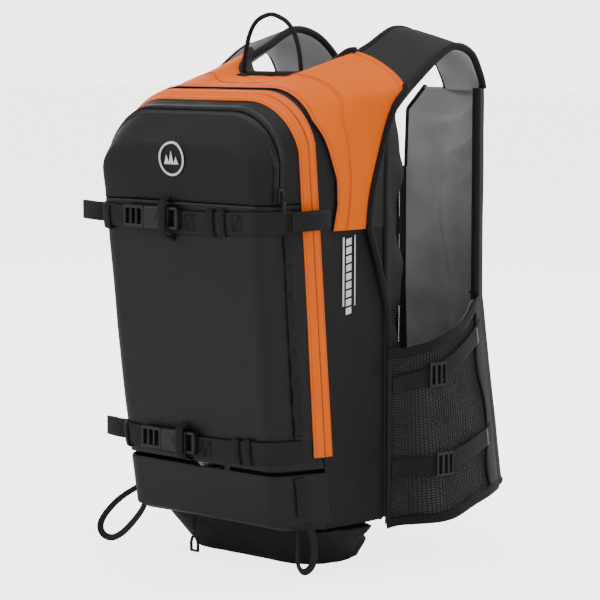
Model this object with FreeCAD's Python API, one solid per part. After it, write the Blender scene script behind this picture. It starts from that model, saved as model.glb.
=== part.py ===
import FreeCAD, Part
import math
import os

# Vest-style avalanche airbag pack. Millimetres. +X is the wearer's right, -Y the outer face, +Z up.
# The origin lies on the flat base, in the middle of the width.

# Main shell
neck_z = 560.0
zip_drop = 15.0
shell_low_z = 50.0
shell_back_y = 70.0
half_back = 150.0
half_zip = 137.0
half_front_top = 126.0
half_front_low = 112.0
front_radius = 20.0
crown_radius = 68.0
crown_margin = 0.5
neck_flat_y = 46.0
zip_ridge_y = -50.0
cover_drop = 19.0
brow_slope = 1.3
shell_wall = 3.0
panel_wall = 2.5
face_low_y = -70.0
face_knee_y = -83.0
face_mid_y = -98.0
face_top_y = -116.0

# Front panel, its zip and its fold line
fold_z = 120.0
zip_low_z = 137.0
zip_low_y = -22.0
zip_lean = 0.085
tape_width = 10.0
tape_thick = 1.2
part_gap = 0.6
touch = 0.3

# Upper pocket cover
flap_drop = 121.0
cover_y = -90.0
pocket_tape = 7.0
patch_radius = 21.0
patch_drop = 73.0

# Straps on the front
web_width = 25.0
web_thick = 1.6
web_lift = 1.4
upper_strap_drop = 19.0
lower_strap_z = 146.0
tongue_travel = 22.0
tongue_length = 33.0
receiver_length = 52.0
buckle_depth = 8.0
buckle_x = -48.0
keeper_width = 9.0
keeper_wall = 1.5
keeper_upper_x = 52.0
keeper_middle_x = 66.0
keeper_lower_x = 80.0
keeper_slack = 2.0
strap_end_y = 14.0
tail_x = 8.6
side_tail_gap = 4.5
side_tail_length = 54.0
pole_x = -22.0
pole_width = 12.0
chain_width = 13.0
chain_front_gap = 24.0
chain_end_gap = 2.0

# Back, base and frame
back_y = 92.0
back_half = 120.0
back_low_z = 30.0
back_top_drop = 58.0
back_radius = 40.0
base_half = 102.0
base_front_y = -3.0
base_radius = 50.0
base_top_half = 143.0
base_top_front_y = -25.0
base_back_radius = 16.0
sheet_thick = 2.0
stay_width = 12.0
stay_thick = 3.0

# Airbag system
cylinder_radius = 24.0
cylinder_length = 205.0
cylinder_x = -78.0
cylinder_y = 24.0
cylinder_low_z = 90.0
neck_radius = 9.0
neck_length = 16.0
body_height = 46.0
run_clearance = 0.05
hose_radius = 12.0
bundle_outer = 6.0
bundle_inner = 38.0
bundle_back_y = 48.0
bundle_leg = 140.0
cable_radius = 2.5
cable_clearance = 0.4

# Vest
strap_thick = 12.0
strap_inner_x = 80.0
strap_outer_x = 158.0
chest_y = 286.0
chest_thick = 6.0
chest_join_z = 548.0
centre_gap = 13.0
neck_v_z = 448.0
hem_z = 72.0
armhole_low_z = 300.0
mesh_thick = 3.0
hem_flare = 24.0
vest_tape = 1.5
closure_lift = 9.0
closure_reach = 92.0
sternum_z = 372.0
sternum_width = 20.0
waist_z = 175.0
waist_width = 38.0
side_web_width = 20.0
side_web_thick = 1.4
side_web_start = 14.0
side_web_end = 78.0
upper_side_back_z = 210.0
upper_side_front_z = 262.0
lower_side_back_z = 112.0
lower_side_front_z = 140.0
lock_y = 112.0
upper_lock_z = 222.0
lower_lock_z = 119.0
lock_lift = 8.0
handle_x = 112.0
handle_z = 452.0

# Loops
haul_half = 45.0
haul_rise = 68.0
haul_y = 45.0
haul_radius = 2.6
gear_radius = 4.0
pull_radius = 1.3

zip_top_z = neck_z - zip_drop
flap_z = zip_top_z - flap_drop
upper_strap_z = flap_z - upper_strap_drop
face_levels = [(shell_low_z, face_low_y), (lower_strap_z, face_knee_y)]
face_levels += [(0.5 * (lower_strap_z + upper_strap_z), face_mid_y), (flap_z + 55.0, face_top_y)]
body_low_z = cylinder_low_z + cylinder_length + 4.0
bore_radius = neck_radius + run_clearance
closure_y = chest_y + closure_lift


def vec(x, y, z):
    return FreeCAD.Vector(x, y, z)


def between(table, at):
    """Straight-line value from a rising table, held level past its ends."""
    if at <= table[0][0]:
        return table[0][1]
    for (a, p), (b, q) in zip(table, table[1:]):
        if at <= b:
            return p + (q - p) * (at - a) / (b - a)
    return table[-1][1]


def face_y(z):
    return between(face_levels, z)


def zip_y(z):
    return zip_low_y - zip_lean * (z - zip_low_z)


def half_front(z):
    return between([(shell_low_z, half_front_low), (flap_z, half_front_top)], z)


def side_half(y, z):
    """Half width of the shell at a depth y, between its back and its front corner."""
    front = (face_y(z), half_front(z))
    return between([front, (zip_y(z), half_zip), (shell_back_y, half_back)], y)


def rounded_wire(points, radii):
    """Closed wire through 3-D points, each corner rounded by a tangent arc."""
    edges = []
    starts = []
    ends = []
    mids = []
    count = len(points)
    for i, here in enumerate(points):
        before = points[i - 1]
        after = points[(i + 1) % count]
        a = (before - here).normalize()
        b = (after - here).normalize()
        turn = math.pi - a.getAngle(b)
        if radii[i] <= 0 or turn < 1e-4:
            starts.append(here)
            ends.append(here)
            mids.append(None)
            continue
        reach = radii[i] * math.tan(turn / 2)
        starts.append(here + a * reach)
        ends.append(here + b * reach)
        inward = (a + b).normalize()
        mids.append(here + inward * (radii[i] / math.cos(turn / 2) - radii[i]))
    for i in range(count):
        if mids[i] is not None:
            edges.append(Part.Arc(starts[i], mids[i], ends[i]).toShape())
        edges.append(Part.LineSegment(ends[i], starts[(i + 1) % count]).toShape())
    return Part.Wire(edges)


def prism(wire, along):
    return Part.Face(wire).extrude(along)


def side_prism(points, x0, x1, radius=0.0):
    corners = [vec(x0, y, z) for y, z in points]
    return prism(rounded_wire(corners, [radius] * len(corners)), vec(x1 - x0, 0, 0))


def front_prism(points, y0, y1, radius=0.0):
    corners = [vec(x, y0, z) for x, z in points]
    return prism(rounded_wire(corners, [radius] * len(corners)), vec(0, y1 - y0, 0))


def plan_prism(points, z0, z1, radius=0.0):
    corners = [vec(x, y, z0) for x, y in points]
    return prism(rounded_wire(corners, [radius] * len(corners)), vec(0, 0, z1 - z0))


def block(x0, x1, y0, y1, z0, z1):
    return Part.makeBox(x1 - x0, y1 - y0, z1 - z0, vec(x0, y0, z0))


def mirrored(shape):
    return shape.mirror(vec(0, 0, 0), vec(1, 0, 0))


def band_wire(points, near, far, place):
    """Closed band between two offsets to the left of a smooth 2-D curve; place puts (u, v) into space."""
    curve = Part.BSplineCurve()
    curve.interpolate([vec(u, v, 0) for u, v in points])
    first, last = curve.FirstParameter, curve.LastParameter
    outer = []
    inner = []
    steps = 12
    for i in range(steps + 1):
        t = first + (last - first) * i / steps
        spot = curve.value(t)
        way = curve.tangent(t)[0]
        left = vec(-way.y, way.x, 0)
        outer.append(place(spot.x + left.x * near, spot.y + left.y * near))
        inner.append(place(spot.x + left.x * far, spot.y + left.y * far))
    inner.reverse()
    one = Part.BSplineCurve()
    one.interpolate(outer)
    two = Part.BSplineCurve()
    two.interpolate(inner)
    caps = [Part.LineSegment(outer[-1], inner[0]), Part.LineSegment(inner[-1], outer[0])]
    return Part.Wire([one.toShape(), caps[0].toShape(), two.toShape(), caps[1].toShape()])


def tube(points, radius, report=""):
    """Round tube on straight runs joined by arcs as large as the runs allow."""
    edges = []
    radii = []
    last = points[0]
    for before, here, after in zip(points, points[1:], points[2:]):
        a = before - here
        b = after - here
        shorter = min(a.Length, b.Length)
        a.normalize()
        b.normalize()
        turn = math.pi - a.getAngle(b)
        reach = 0.45 * shorter
        bend = reach / math.tan(turn / 2)
        radii.append(bend)
        middle = here + (a + b).normalize() * (bend / math.cos(turn / 2) - bend)
        edges.append(Part.LineSegment(last, here + a * reach).toShape())
        edges.append(Part.Arc(here + a * reach, middle, here + b * reach).toShape())
        last = here + b * reach
    edges.append(Part.LineSegment(last, points[-1]).toShape())
    path = Part.Wire(edges)
    start = points[0]
    ring = Part.Wire([Part.Circle(start, points[1] - start, radius).toShape()])
    if report:
        print(report, "length", round(path.Length, 1), "radii", [round(r, 1) for r in radii])
    return path.makePipeShell([ring], True, False)


def plan_section(z, inset):
    hb = half_back - inset
    hz = half_zip - inset
    hf = half_front(z) - inset
    back = shell_back_y - inset
    front = face_y(z) + inset
    points = [vec(-hb, back, z), vec(-hz, zip_y(z), z), vec(-hf, front, z)]
    points += [vec(hf, front, z), vec(hz, zip_y(z), z), vec(hb, back, z)]
    r = front_radius - inset
    return rounded_wire(points, [0, 0, r, r, 0, 0])


def crown_section(y, top, half, inset):
    low = shell_low_z + inset
    points = [vec(-half + inset, y, low), vec(half - inset, y, low)]
    points += [vec(half - inset, y, top - inset), vec(-half + inset, y, top - inset)]
    r = crown_radius - inset
    return rounded_wire(points, [8.0, 8.0, r, r])


def shell_form(inset):
    """The whole pack's outer form, drawn in by inset on every side."""
    levels = [shell_low_z - 20.0] + [z for z, y in face_levels] + [neck_z + 60.0]
    body = Part.makeLoft([plan_section(z, inset) for z in levels], True, True)
    ridge = [(shell_back_y + 30.0, neck_z), (neck_flat_y, neck_z), (zip_ridge_y, zip_top_z)]
    ridge += [(cover_y, zip_top_z - cover_drop)]
    ridge.append((face_top_y - 30.0, zip_top_z - cover_drop - brow_slope * (cover_y - face_top_y + 30.0)))
    crown = []
    for y, top in ridge:
        half = side_half(y, zip_top_z) + crown_margin
        crown.append(crown_section(y, top, half, inset))
    return body.common(Part.makeLoft(list(reversed(crown)), True, True))


forms = {}


def form(inset):
    if inset not in forms:
        forms[inset] = shell_form(inset)
    return forms[inset]


def skin(low, high):
    """Layer that lies on the shell between two heights above its surface."""
    return form(-high).cut(form(-low))


def fixed_region():
    top = neck_z + 200.0
    points = [(zip_y(fold_z), fold_z), (zip_y(top), top), (300.0, top)]
    points += [(300.0, -50.0), (-300.0, -50.0), (-300.0, fold_z)]
    return side_prism(points, -300.0, 300.0)


def moving_region(lift=0.0):
    top = neck_z + 200.0
    low = fold_z + part_gap + lift
    points = [(-300.0, low), (zip_y(low) - part_gap, low)]
    points += [(zip_y(top) - part_gap, top), (-300.0, top)]
    return side_prism(points, -300.0, 300.0)


def zip_band(near, far, low):
    """Region between two lines parallel to the zip, above a height."""
    top = neck_z + 100.0
    points = [(zip_y(low) + near, low), (zip_y(top) + near, top)]
    points += [(zip_y(top) + far, top), (zip_y(low) + far, low)]
    return side_prism(points, -300.0, 300.0)


def make_gusset():
    wall = form(0.0).cut(form(shell_wall)).common(fixed_region())
    low = fold_z - shell_wall
    lip = zip_y(fold_z) - 25.0
    shelf = [(-300.0, low), (lip, low), (lip, fold_z), (-300.0, fold_z)]
    return wall.fuse(form(0.0).common(side_prism(shelf, -300.0, 300.0))).removeSplitter()


def make_front_shell():
    inner = form(panel_wall).common(block(-300, 300, -300, 300, fold_z + part_gap + panel_wall, 900))
    wall = form(0.0).cut(inner).common(moving_region())
    return wall.cut(block(-300, 300, -300, cover_y, flap_z, 900))


def make_front_liner():
    room = form(panel_wall + 0.1).common(moving_region(panel_wall + 0.1))
    return room.common(zip_band(-part_gap - sheet_thick, -part_gap, fold_z))


def make_cover():
    wall = form(0.0).cut(form(panel_wall)).common(moving_region())
    region = block(-300, 300, -300, cover_y - part_gap, flap_z + part_gap, 900)
    return wall.common(region)


def make_orange_tape(moving):
    layer = skin(0.0, tape_thick)
    if moving:
        return layer.common(zip_band(-tape_width - part_gap, -part_gap, zip_low_z))
    return layer.common(zip_band(0.0, tape_width, zip_low_z))


def make_pocket_tape(moving):
    layer = skin(0.0, tape_thick)
    low = flap_z + part_gap + 2.0
    near = cover_y - part_gap - pocket_tape if moving else cover_y
    return layer.common(block(-300, 300, near, near + pocket_tape, low, 900))


def make_patch():
    centre = vec(0, face_top_y - 30.0, zip_top_z - patch_drop)
    disc = Part.makeCylinder(patch_radius, 60.0, centre, vec(0, 1, 0))
    return skin(0.1, 1.3).common(disc)


def make_yoke():
    leg = neck_z - 168.0
    points = [(-38.0, neck_z + 60), (-38.0, neck_z - 40), (-22.0, neck_z - 77), (-9.0, neck_z - 111)]
    points += [(-8.0, neck_z - 139), (-14.0, leg), (36.0, leg), (39.0, neck_z - 136)]
    points += [(52.0, neck_z - 100), (66.0, neck_z - 63), (shell_back_y, neck_z - 50)]
    points += [(shell_back_y, neck_z + 60)]
    return skin(0.0, 2.2).common(side_prism(points, -300.0, 300.0))


def make_back_panel():
    top = neck_z - back_top_drop
    points = [(-back_half, back_low_z), (back_half, back_low_z), (back_half, top), (-back_half, top)]
    pad = front_prism(points, shell_back_y, back_y, back_radius)
    channel = block(-14.0, 14.0, back_y - 8.0, back_y + 5.0, back_low_z - 5.0, top + 5.0)
    return pad.cut(channel)


def base_outline(half, front, z):
    corners = [vec(-half, back_y, z), vec(-half, front, z), vec(half, front, z), vec(half, back_y, z)]
    return rounded_wire(corners, [base_back_radius, base_radius, base_radius, base_back_radius])


def make_base():
    """Soft foot that widens from its flat underside to the bottom of the shell."""
    low = base_outline(base_half, base_front_y, 0.0)
    high = base_outline(base_top_half, base_top_front_y, shell_low_z)
    foot = Part.makeLoft([low, high], True, True)
    step = block(-300, 300, shell_back_y - touch, 300, back_low_z - touch, 300)
    return foot.cut(step)


def make_frame_sheet():
    half = half_zip - 8.0
    y1 = shell_back_y - shell_wall - 0.2
    low = shell_low_z + shell_wall + 6.0
    top = neck_z - 45.0
    points = [(-half, low), (half, low), (half, top), (-half, top)]
    return front_prism(points, y1 - sheet_thick, y1, back_radius)


def make_stay():
    half = half_zip - 40.0
    y1 = shell_back_y - shell_wall - 0.2 - sheet_thick
    low = shell_low_z + shell_wall + 12.0
    top = neck_z - 60.0
    outer = [(-half, low), (half, low), (half, top), (-half, top)]
    inside = half - stay_width
    inner = [(-inside, low - 10), (inside, low - 10), (inside, top - stay_width), (-inside, top - stay_width)]
    hoop = front_prism(outer, y1 - stay_thick, y1, 30.0)
    return hoop.cut(front_prism(inner, y1 - stay_thick - 1, y1 + 1, 18.0))


def make_bundle():
    room = form(bundle_inner)
    behind = room.translated(vec(0, bundle_back_y - shell_back_y + bundle_inner + 1.0, 0))
    ring = form(bundle_outer).cut(room).cut(behind)
    return ring.common(block(-300, 300, 0.0, bundle_back_y, neck_z - bundle_leg, neck_z + 100))


def make_inflator():
    x, y = cylinder_x, cylinder_y
    core = block(x - 26, x + 26, y - 20, y + 20, body_low_z, body_low_z + body_height)
    bore = Part.makeCylinder(bore_radius, neck_length + 0.5, vec(x, y, body_low_z - 0.2))
    guide = Part.makeCylinder(3.0 + run_clearance, 22.0, vec(x, y + 21.0, body_low_z + 24.0), vec(0, -1, 0))
    core = core.cut(bore).cut(guide)
    vent = Part.makeCylinder(19.0, 28.0, vec(x, y, body_low_z + body_height))
    return core.fuse(vent).removeSplitter()


def make_intake():
    x, y = cylinder_x, cylinder_y
    z = body_low_z + body_height + 4.0
    ring = Part.makeCylinder(22.0, 20.0, vec(x, y, z))
    ring = ring.cut(Part.makeCylinder(19.2, 20.0, vec(x, y, z)))
    for i in range(10):
        slot = block(18.0, 24.0, -2.0, 2.0, 3.0, 17.0)
        slot.rotate(vec(0, 0, 0), vec(0, 0, 1), 36.0 * i)
        slot.translate(vec(x, y, z))
        ring = ring.cut(slot)
    return ring


def make_hose():
    low = body_low_z + body_height + 28.0
    pipe = Part.makeCylinder(hose_radius, 400.0, vec(cylinder_x, cylinder_y, low))
    return pipe.common(form(bundle_inner + 0.2))


def make_cartridge():
    x, y = cylinder_x, cylinder_y
    r = cylinder_radius
    tank = Part.makeCylinder(r, cylinder_length - 2 * r, vec(x, y, cylinder_low_z + r))
    tank = tank.fuse(Part.makeSphere(r, vec(x, y, cylinder_low_z + r)))
    tank = tank.fuse(Part.makeSphere(r, vec(x, y, cylinder_low_z + cylinder_length - r)))
    top = body_low_z + neck_length - 0.4
    neck = Part.makeCylinder(neck_radius, top - cylinder_low_z - r, vec(x, y, cylinder_low_z + r))
    return tank.fuse(neck).removeSplitter()


def make_plunger():
    return Part.makeCylinder(3.0, 14.0, vec(cylinder_x, cylinder_y + 27.0, body_low_z + 24.0), vec(0, -1, 0))


def make_clamp():
    x, y = cylinder_x, cylinder_y
    z = cylinder_low_z + 0.5 * cylinder_length
    back = shell_back_y - shell_wall - 0.2 - sheet_thick - stay_thick - touch
    ring = Part.makeCylinder(cylinder_radius + 4.0, 24.0, vec(x, y, z))
    arm = block(x - 12.0, x + 12.0, y, back, z, z + 24.0)
    bore = Part.makeCylinder(cylinder_radius + 0.5, 24.0, vec(x, y, z))
    mouth = block(x - 8.0, x + 8.0, y - 40.0, y, z, z + 24.0)
    return ring.fuse(arm).cut(bore).cut(mouth).removeSplitter()


def strap_curves():
    """Inner and outer edges of a shoulder strap: (share of the way to the chest, height above the neck)."""
    span = chest_y - shell_back_y
    end = chest_join_z - neck_z
    inner = [(touch / span, 16), (0.0926, 26), (0.2546, 40), (0.4722, 60), (0.6713, 54), (0.8333, 32)]
    inner += [(0.9398, 3), (0.9722, end)]
    outer = [(touch / span, -30), (0.0741, -17), (0.1898, 1), (0.4167, 32), (0.5556, 41), (0.7037, 31)]
    outer += [(0.7917, 4), (0.8194, end)]
    return [[(shell_back_y + share * span, z + neck_z) for share, z in pairs] for pairs in (inner, outer)]


def make_strap():
    inner, outer = strap_curves()
    a = band_wire(inner, 0.0, -strap_thick, lambda y, z: vec(strap_inner_x, y, z))
    b = band_wire(outer, 0.0, -strap_thick, lambda y, z: vec(strap_outer_x, y, z))
    body = Part.makeLoft([a, b], True, True)
    return body.common(block(0, 400, shell_back_y + touch, 600, chest_join_z, neck_z + 200))


def chest_plan(flare):
    d = chest_y
    points = [(166, d - 60), (159, d - 40), (140, d - 22), (95, d - 8), (centre_gap, d)]
    return [(x + flare * (x > 100), y + 0.4 * flare) for x, y in points]


def make_chest():
    wires = []
    for z in (hem_z, armhole_low_z, chest_join_z):
        flare = side_flare(z)
        wires.append(band_wire(chest_plan(flare), 0.0, chest_thick, lambda x, y, h=z: vec(x, y, h)))
    body = Part.makeLoft(wires, True, True)
    top = chest_join_z - touch
    shape = [(centre_gap, hem_z), (400, hem_z), (400, top), (44, top), (16, neck_z - 41)]
    shape.append((centre_gap, neck_v_z))
    return body.common(front_prism(shape, 0, 600))


def side_plan(flare):
    d = chest_y
    belly_y = shell_back_y + 0.3704 * (d - shell_back_y)
    points = [(half_back + 1.5, shell_back_y + 3), (162, 86), (181, 112), (187, belly_y)]
    points += [(180, d - 92), (167.5, d - 60.5)]
    return [(x + flare * (x > 165), y + 0.4 * flare * (y > 180)) for x, y in points]


def side_flare(z):
    return hem_flare * max(0.0, armhole_low_z - z) / (armhole_low_z - hem_z)


def side_band(near, far):
    wires = []
    for z in (20.0, armhole_low_z, armhole_low_z + 20.0):
        wires.append(band_wire(side_plan(side_flare(z)), near, far, lambda x, y, h=z: vec(x, y, h)))
    return Part.makeLoft(wires, True, True)


def make_mesh():
    body = side_band(0.0, mesh_thick)
    d = chest_y
    a = armhole_low_z
    top = [(d + 40, a), (d - 75, a - 3), (d - 115, a - 23), (123, a - 38), (88, a - 51), (40, a - 50)]
    low = [(40, 34), (114, 54), (163, 66), (208, hem_z), (d + 40, hem_z)]
    return body.common(side_prism(top + low, 0, 400))


def side_strap(z_back, z_front):
    """Webbing that crosses the mesh panel from the pack to the chest panel."""
    body = side_band(-touch - side_web_thick, -touch)
    w = 0.5 * side_web_width
    y0 = shell_back_y + side_web_start
    y1 = chest_y - side_web_end
    points = [(y0, z_back - w), (y1, z_front - w), (y1, z_front + w), (y0, z_back + w)]
    return body.common(side_prism(points, 0, 400))


def ladder_lock(y, z):
    """Flat ladder-lock buckle with two bars, standing just off the side webbing."""
    x = side_half(shell_back_y, z)
    for (xa, ya), (xb, yb) in zip(side_plan(0), side_plan(0)[1:]):
        if ya <= y <= yb:
            x = xa + (xb - xa) * (y - ya) / (yb - ya)
            lean = math.degrees(math.atan2(yb - ya, xb - xa))
    x += side_flare(z) * (x > 165)
    frame = block(-13, 13, 0, 3.0, -14, 14)
    for low in (-10.0, -1.5, 6.0):
        frame = frame.cut(block(low, low + 5.0, -1, 4, -11, 11))
    frame.rotate(vec(0, 0, 0), vec(0, 0, 1), lean)
    out = vec(math.sin(math.radians(lean)), -math.cos(math.radians(lean)), 0)
    frame.translate(vec(x, y, z) + out * lock_lift)
    return frame


def wrap_strap(z, y_limit, x0, x1):
    layer = skin(web_lift, web_lift + web_thick)
    w = 0.5 * web_width
    return layer.common(block(x0, x1, -300, y_limit, z - w, z + w))


def buckle_front(z):
    """Depth of the plane that a front buckle stands on."""
    w = 0.5 * web_width
    return min(face_y(z - w), face_y(z + w)) - web_lift - web_thick - touch


def make_receiver(z):
    y1 = buckle_front(z)
    x0 = buckle_x
    x1 = x0 + receiver_length
    w = 0.5 * web_width
    box = front_prism([(x0, z - w), (x1, z - w), (x1, z + w), (x0, z + w)], y1 - buckle_depth, y1, 3.0)
    tip = x0 + tongue_length * 0.6
    slot = block(x0 - 1, tip, y1 - buckle_depth + 2.0, y1 - 2.0, z - w + 3.0, z + w - 3.0)
    window = block(x0 + 12, x0 + 24, y1 - buckle_depth - 1, y1 - buckle_depth + 2.5, z - 6, z + 6)
    return box.cut(slot).cut(window)


def make_tongue(z):
    y1 = buckle_front(z)
    y0 = y1 - buckle_depth
    x0 = buckle_x - tongue_length
    x1 = buckle_x - 1.0
    w = 0.5 * web_width
    yard = front_prism([(x0, z - w), (x1, z - w), (x1, z + w), (x0, z + w)], y0 + 1.0, y1 - 1.0, 3.0)
    for step in (5.0, 14.0):
        yard = yard.cut(block(x0 + step, x0 + step + 5.0, y0, y1, z - w + 4.0, z + w - 4.0))
    tip = buckle_x + tongue_length * 0.6 - 1.0
    blade = block(x1 - 1.0, tip, y0 + 2.3, y1 - 2.3, z - w + 3.4, z + w - 3.4)
    return yard.fuse(blade).removeSplitter()


def make_keepers():
    rings = []
    left = buckle_x - tongue_length - tongue_travel - keeper_width
    spots = [(x, upper_strap_z) for x in (left, keeper_upper_x, keeper_middle_x)]
    spots += [(x, lower_strap_z) for x in (keeper_middle_x, keeper_lower_x)]
    low = web_lift + web_thick + touch
    w = 0.5 * web_width + keeper_slack
    for x, z in spots:
        x0 = x - 0.5 * keeper_width
        ring = block(x0, x0 + keeper_width, -300, 0, z - w, z + w)
        rings.append(skin(low, low + keeper_wall).common(ring))
    return Part.makeCompound(rings)


def make_pole_loops():
    loops = []
    for z in (upper_strap_z, lower_strap_z):
        y1 = buckle_front(z) - buckle_depth - touch
        w = 0.5 * web_width
        x0 = pole_x
        strip = block(x0, x0 + pole_width, y1 - 1.5, y1, z - w - 3.0, z + w + 3.0)
        for edge in (z - w - 3.0, z + w + 1.4):
            strip = strip.fuse(block(x0, x0 + pole_width, y1 - 1.5, y1 + buckle_depth, edge, edge + 1.6))
        loops.append(strip.removeSplitter())
    return Part.makeCompound(loops)


def make_chain():
    low = lower_strap_z + 0.5 * web_width + chain_end_gap
    high = upper_strap_z - 0.5 * web_width - chain_end_gap
    near = [(face_y(z) + chain_front_gap, z) for z in (low, high)]
    points = [near[0], near[1], (near[1][0] + chain_width, high), (near[0][0] + chain_width, low)]
    return skin(0.2, 2.0).common(side_prism(points, 0, 300))


def strap_tail(z):
    """Loose end of a front strap, folded over itself beside the left front corner."""
    x0 = half_front(z) + tail_x
    y0 = face_y(z) + strap_end_y
    w = 0.5 * web_width - 2.0
    points = [(x0, y0), (x0 + 16.0, y0 - 9.0), (x0 + 34.0, y0 - 6.0), (x0 + 36.0, y0 - 1.0)]
    points += [(x0 + 18.0, y0 - 3.0), (x0 + 3.0, y0 + 5.0)]
    return mirrored(plan_prism(points, z - w, z + w))


def side_tail(z):
    """Loose end of a front strap, folded into a loop that lies back along the right side."""
    w = 0.5 * web_width - 2.0
    start = cover_y + 10.0
    end = start + side_tail_length
    inner = [(side_half(y, z) + side_tail_gap, y) for y in (start, end)]
    backs = ((end, 8.0), (start + 24.0, 9.0), (start, 3.0))
    outer = [(side_half(y, z) + side_tail_gap + thick, y) for y, thick in backs]
    return plan_prism(inner + outer, z - w, z + w)


def make_haul_loop():
    base = neck_z + 6.5
    r = haul_radius
    inset = 16.0
    points = [vec(-haul_half, haul_y, base), vec(-haul_half + 3, haul_y, base + 0.42 * haul_rise)]
    points += [vec(-haul_half + inset, haul_y, base + 0.86 * haul_rise), vec(-6, haul_y, base + haul_rise)]
    points += [vec(8, haul_y, base + haul_rise - 2), vec(haul_half - inset, haul_y, base + 0.82 * haul_rise)]
    points += [vec(haul_half - 2, haul_y, base + 0.40 * haul_rise), vec(haul_half, haul_y, base)]
    loop = tube(points, r)
    for end in (points[0], points[-1]):
        loop = loop.fuse(Part.makeSphere(r, end))
    return loop.removeSplitter()


def make_haul_anchors():
    pads = []
    for x in (-haul_half, haul_half):
        top = neck_z + 6.5 - haul_radius - touch
        pad = block(x - 12, x + 12, haul_y - 10, haul_y + 8, neck_z - 20, top)
        pads.append(pad.cut(form(-2.3)))
    return Part.makeCompound(pads)


def make_gear_loop(side):
    """Cord loop for an axe, hanging from the bottom corner of the front."""
    x = half_front_low - 4.0
    y = face_low_y + 12.0
    if side > 0:
        route = [(x + 6, y + 16, 76), (x + 20, y + 20, 62), (x + 31, y + 18, 44), (x + 36, y + 12, 26)]
        route += [(x + 34, y + 8, 14), (x + 23, y + 7, 7), (x + 12, y + 10, 14), (x + 9, y + 14, 29)]
        route += [(x + 7, y + 17, 46), (x + 6, y + 18, 62)]
    else:
        route = [(x + 8, y + 6, 80), (x + 32, y - 4, 66), (x + 56, y - 10, 44), (x + 70, y - 12, 24)]
        route += [(x + 67, y - 10, 11), (x + 55, y - 6, 7), (x + 42, y - 2, 14), (x + 28, y + 2, 28)]
        route += [(x + 12, y + 8, 50), (x + 7, y + 9, 66)]
    name = "gear loop right" if side > 0 else "gear loop left"
    loop = tube([vec(side * a, b, c) for a, b, c in route], gear_radius, name)
    return loop.cut(form(-0.2))


def make_pull():
    """Cord pull with a moulded end, hanging from the bottom zip."""
    x, y, top = -44.0, face_low_y + 26.0, shell_low_z - 3.0
    cord = Part.makeCylinder(pull_radius, 20.0, vec(x, y, top - 21.0))
    cord = cord.fuse(Part.makeSphere(pull_radius, vec(x, y, top - 1.0)))
    tab = block(x - 5, x + 5, y - 2.5, y + 2.5, top - 42.0, top - 20.0)
    return cord.fuse(tab).removeSplitter()


def make_slider(x, y, z, out, length):
    """Zip slider with a short pull, standing off the tape on the side given by out."""
    reach = 4.0
    x0 = min(x, x + out * reach)
    body = block(x0, x0 + reach, y - 5.0, y + 5.0, z - 7.0, z + 7.0)
    x1 = min(x + out * reach, x + out * (reach + 2.0))
    pull = block(x1, x1 + 2.0, y - 3.0, y + 3.0, z - length, z + 3.0)
    return body.fuse(pull).removeSplitter()


def main_slider(z):
    return make_slider(-half_zip - tape_thick - 1.2, zip_y(z), z, -1.0, 26.0)


def pocket_slider(side):
    z = flap_z + 14.0
    x = side_half(cover_y, z) + tape_thick + 1.2
    return make_slider(side * x, cover_y, z, side, 22.0)


def make_vest_tape():
    y = chest_y - 0.5 * (chest_thick + vest_tape)
    return block(1.0, centre_gap - touch, y, y + vest_tape, hem_z + 2.0, neck_v_z)


def make_vest_slider():
    y = chest_y - 0.5 * (chest_thick - vest_tape) + touch
    z = neck_v_z - 10.0
    body = block(-5.0, 5.0, y, y + 4.0, z - 7.0, z + 7.0)
    pull = block(-3.0, 3.0, y + 4.0, y + 6.0, z - 24.0, z + 4.0)
    return body.fuse(pull).removeSplitter()


def closure_web(z, width, reach):
    """Webbing from the chest panel to the middle buckle, held off the centre zip."""
    y = chest_y - 3.0
    points = [(reach, y), (reach - 22.0, y), (34.0, closure_y + 2.0), (26.0, closure_y + 2.0)]
    points += [(26.0, closure_y + 3.8), (34.0, closure_y + 3.8), (reach - 20.0, y + 3.0), (reach, y + 2.0)]
    web = plan_prism(points, z - 0.5 * width, z + 0.5 * width)
    return web.cut(chest_keep_out())


def closure_receiver(z, width):
    w = 0.5 * width
    box = block(-26.0 + touch, 2.0, closure_y - 1.0, closure_y + 7.0, z - w, z + w)
    return box.cut(block(-16.0, 3.0, closure_y + 1.0, closure_y + 5.0, z - w + 3, z + w - 3))


def closure_tongue(z, width):
    w = 0.5 * width
    yard = block(3.0, 25.0, closure_y, closure_y + 1.6, z - w, z + w)
    post = block(3.0, 8.0, closure_y, closure_y + 6.0, z - w, z + w)
    blade = block(-14.0, 3.5, closure_y + 1.4, closure_y + 4.6, z - w + 3.4, z + w - 3.4)
    return yard.fuse(post).fuse(blade).removeSplitter()


def make_trigger_pocket():
    y0 = chest_y - 10.0
    box = block(-handle_x - 22, -handle_x + 22, y0, y0 + 20.0, handle_z + 6.0, handle_z + 74.0)
    hole = block(-handle_x - 8, -handle_x + 8, y0 + 6.5, y0 + 17.5, handle_z, handle_z + 60.0)
    top = Part.makeCylinder(cable_radius + cable_clearance, 40.0, vec(-handle_x, y0 + 12.0, handle_z + 50.0))
    return box.cut(hole).cut(top).cut(mirrored(chest_keep_out()))


def chest_keep_out():
    """Space that pieces lying on the chest panel leave free: the panel and what is behind it."""
    wires = []
    for z in (hem_z - 10.0, armhole_low_z, chest_join_z + 60.0):
        plan = chest_plan(side_flare(z))
        wires.append(band_wire(plan, -touch, chest_thick + 12.0, lambda x, y, h=z: vec(x, y, h)))
    return Part.makeLoft(wires, True, True)


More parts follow.
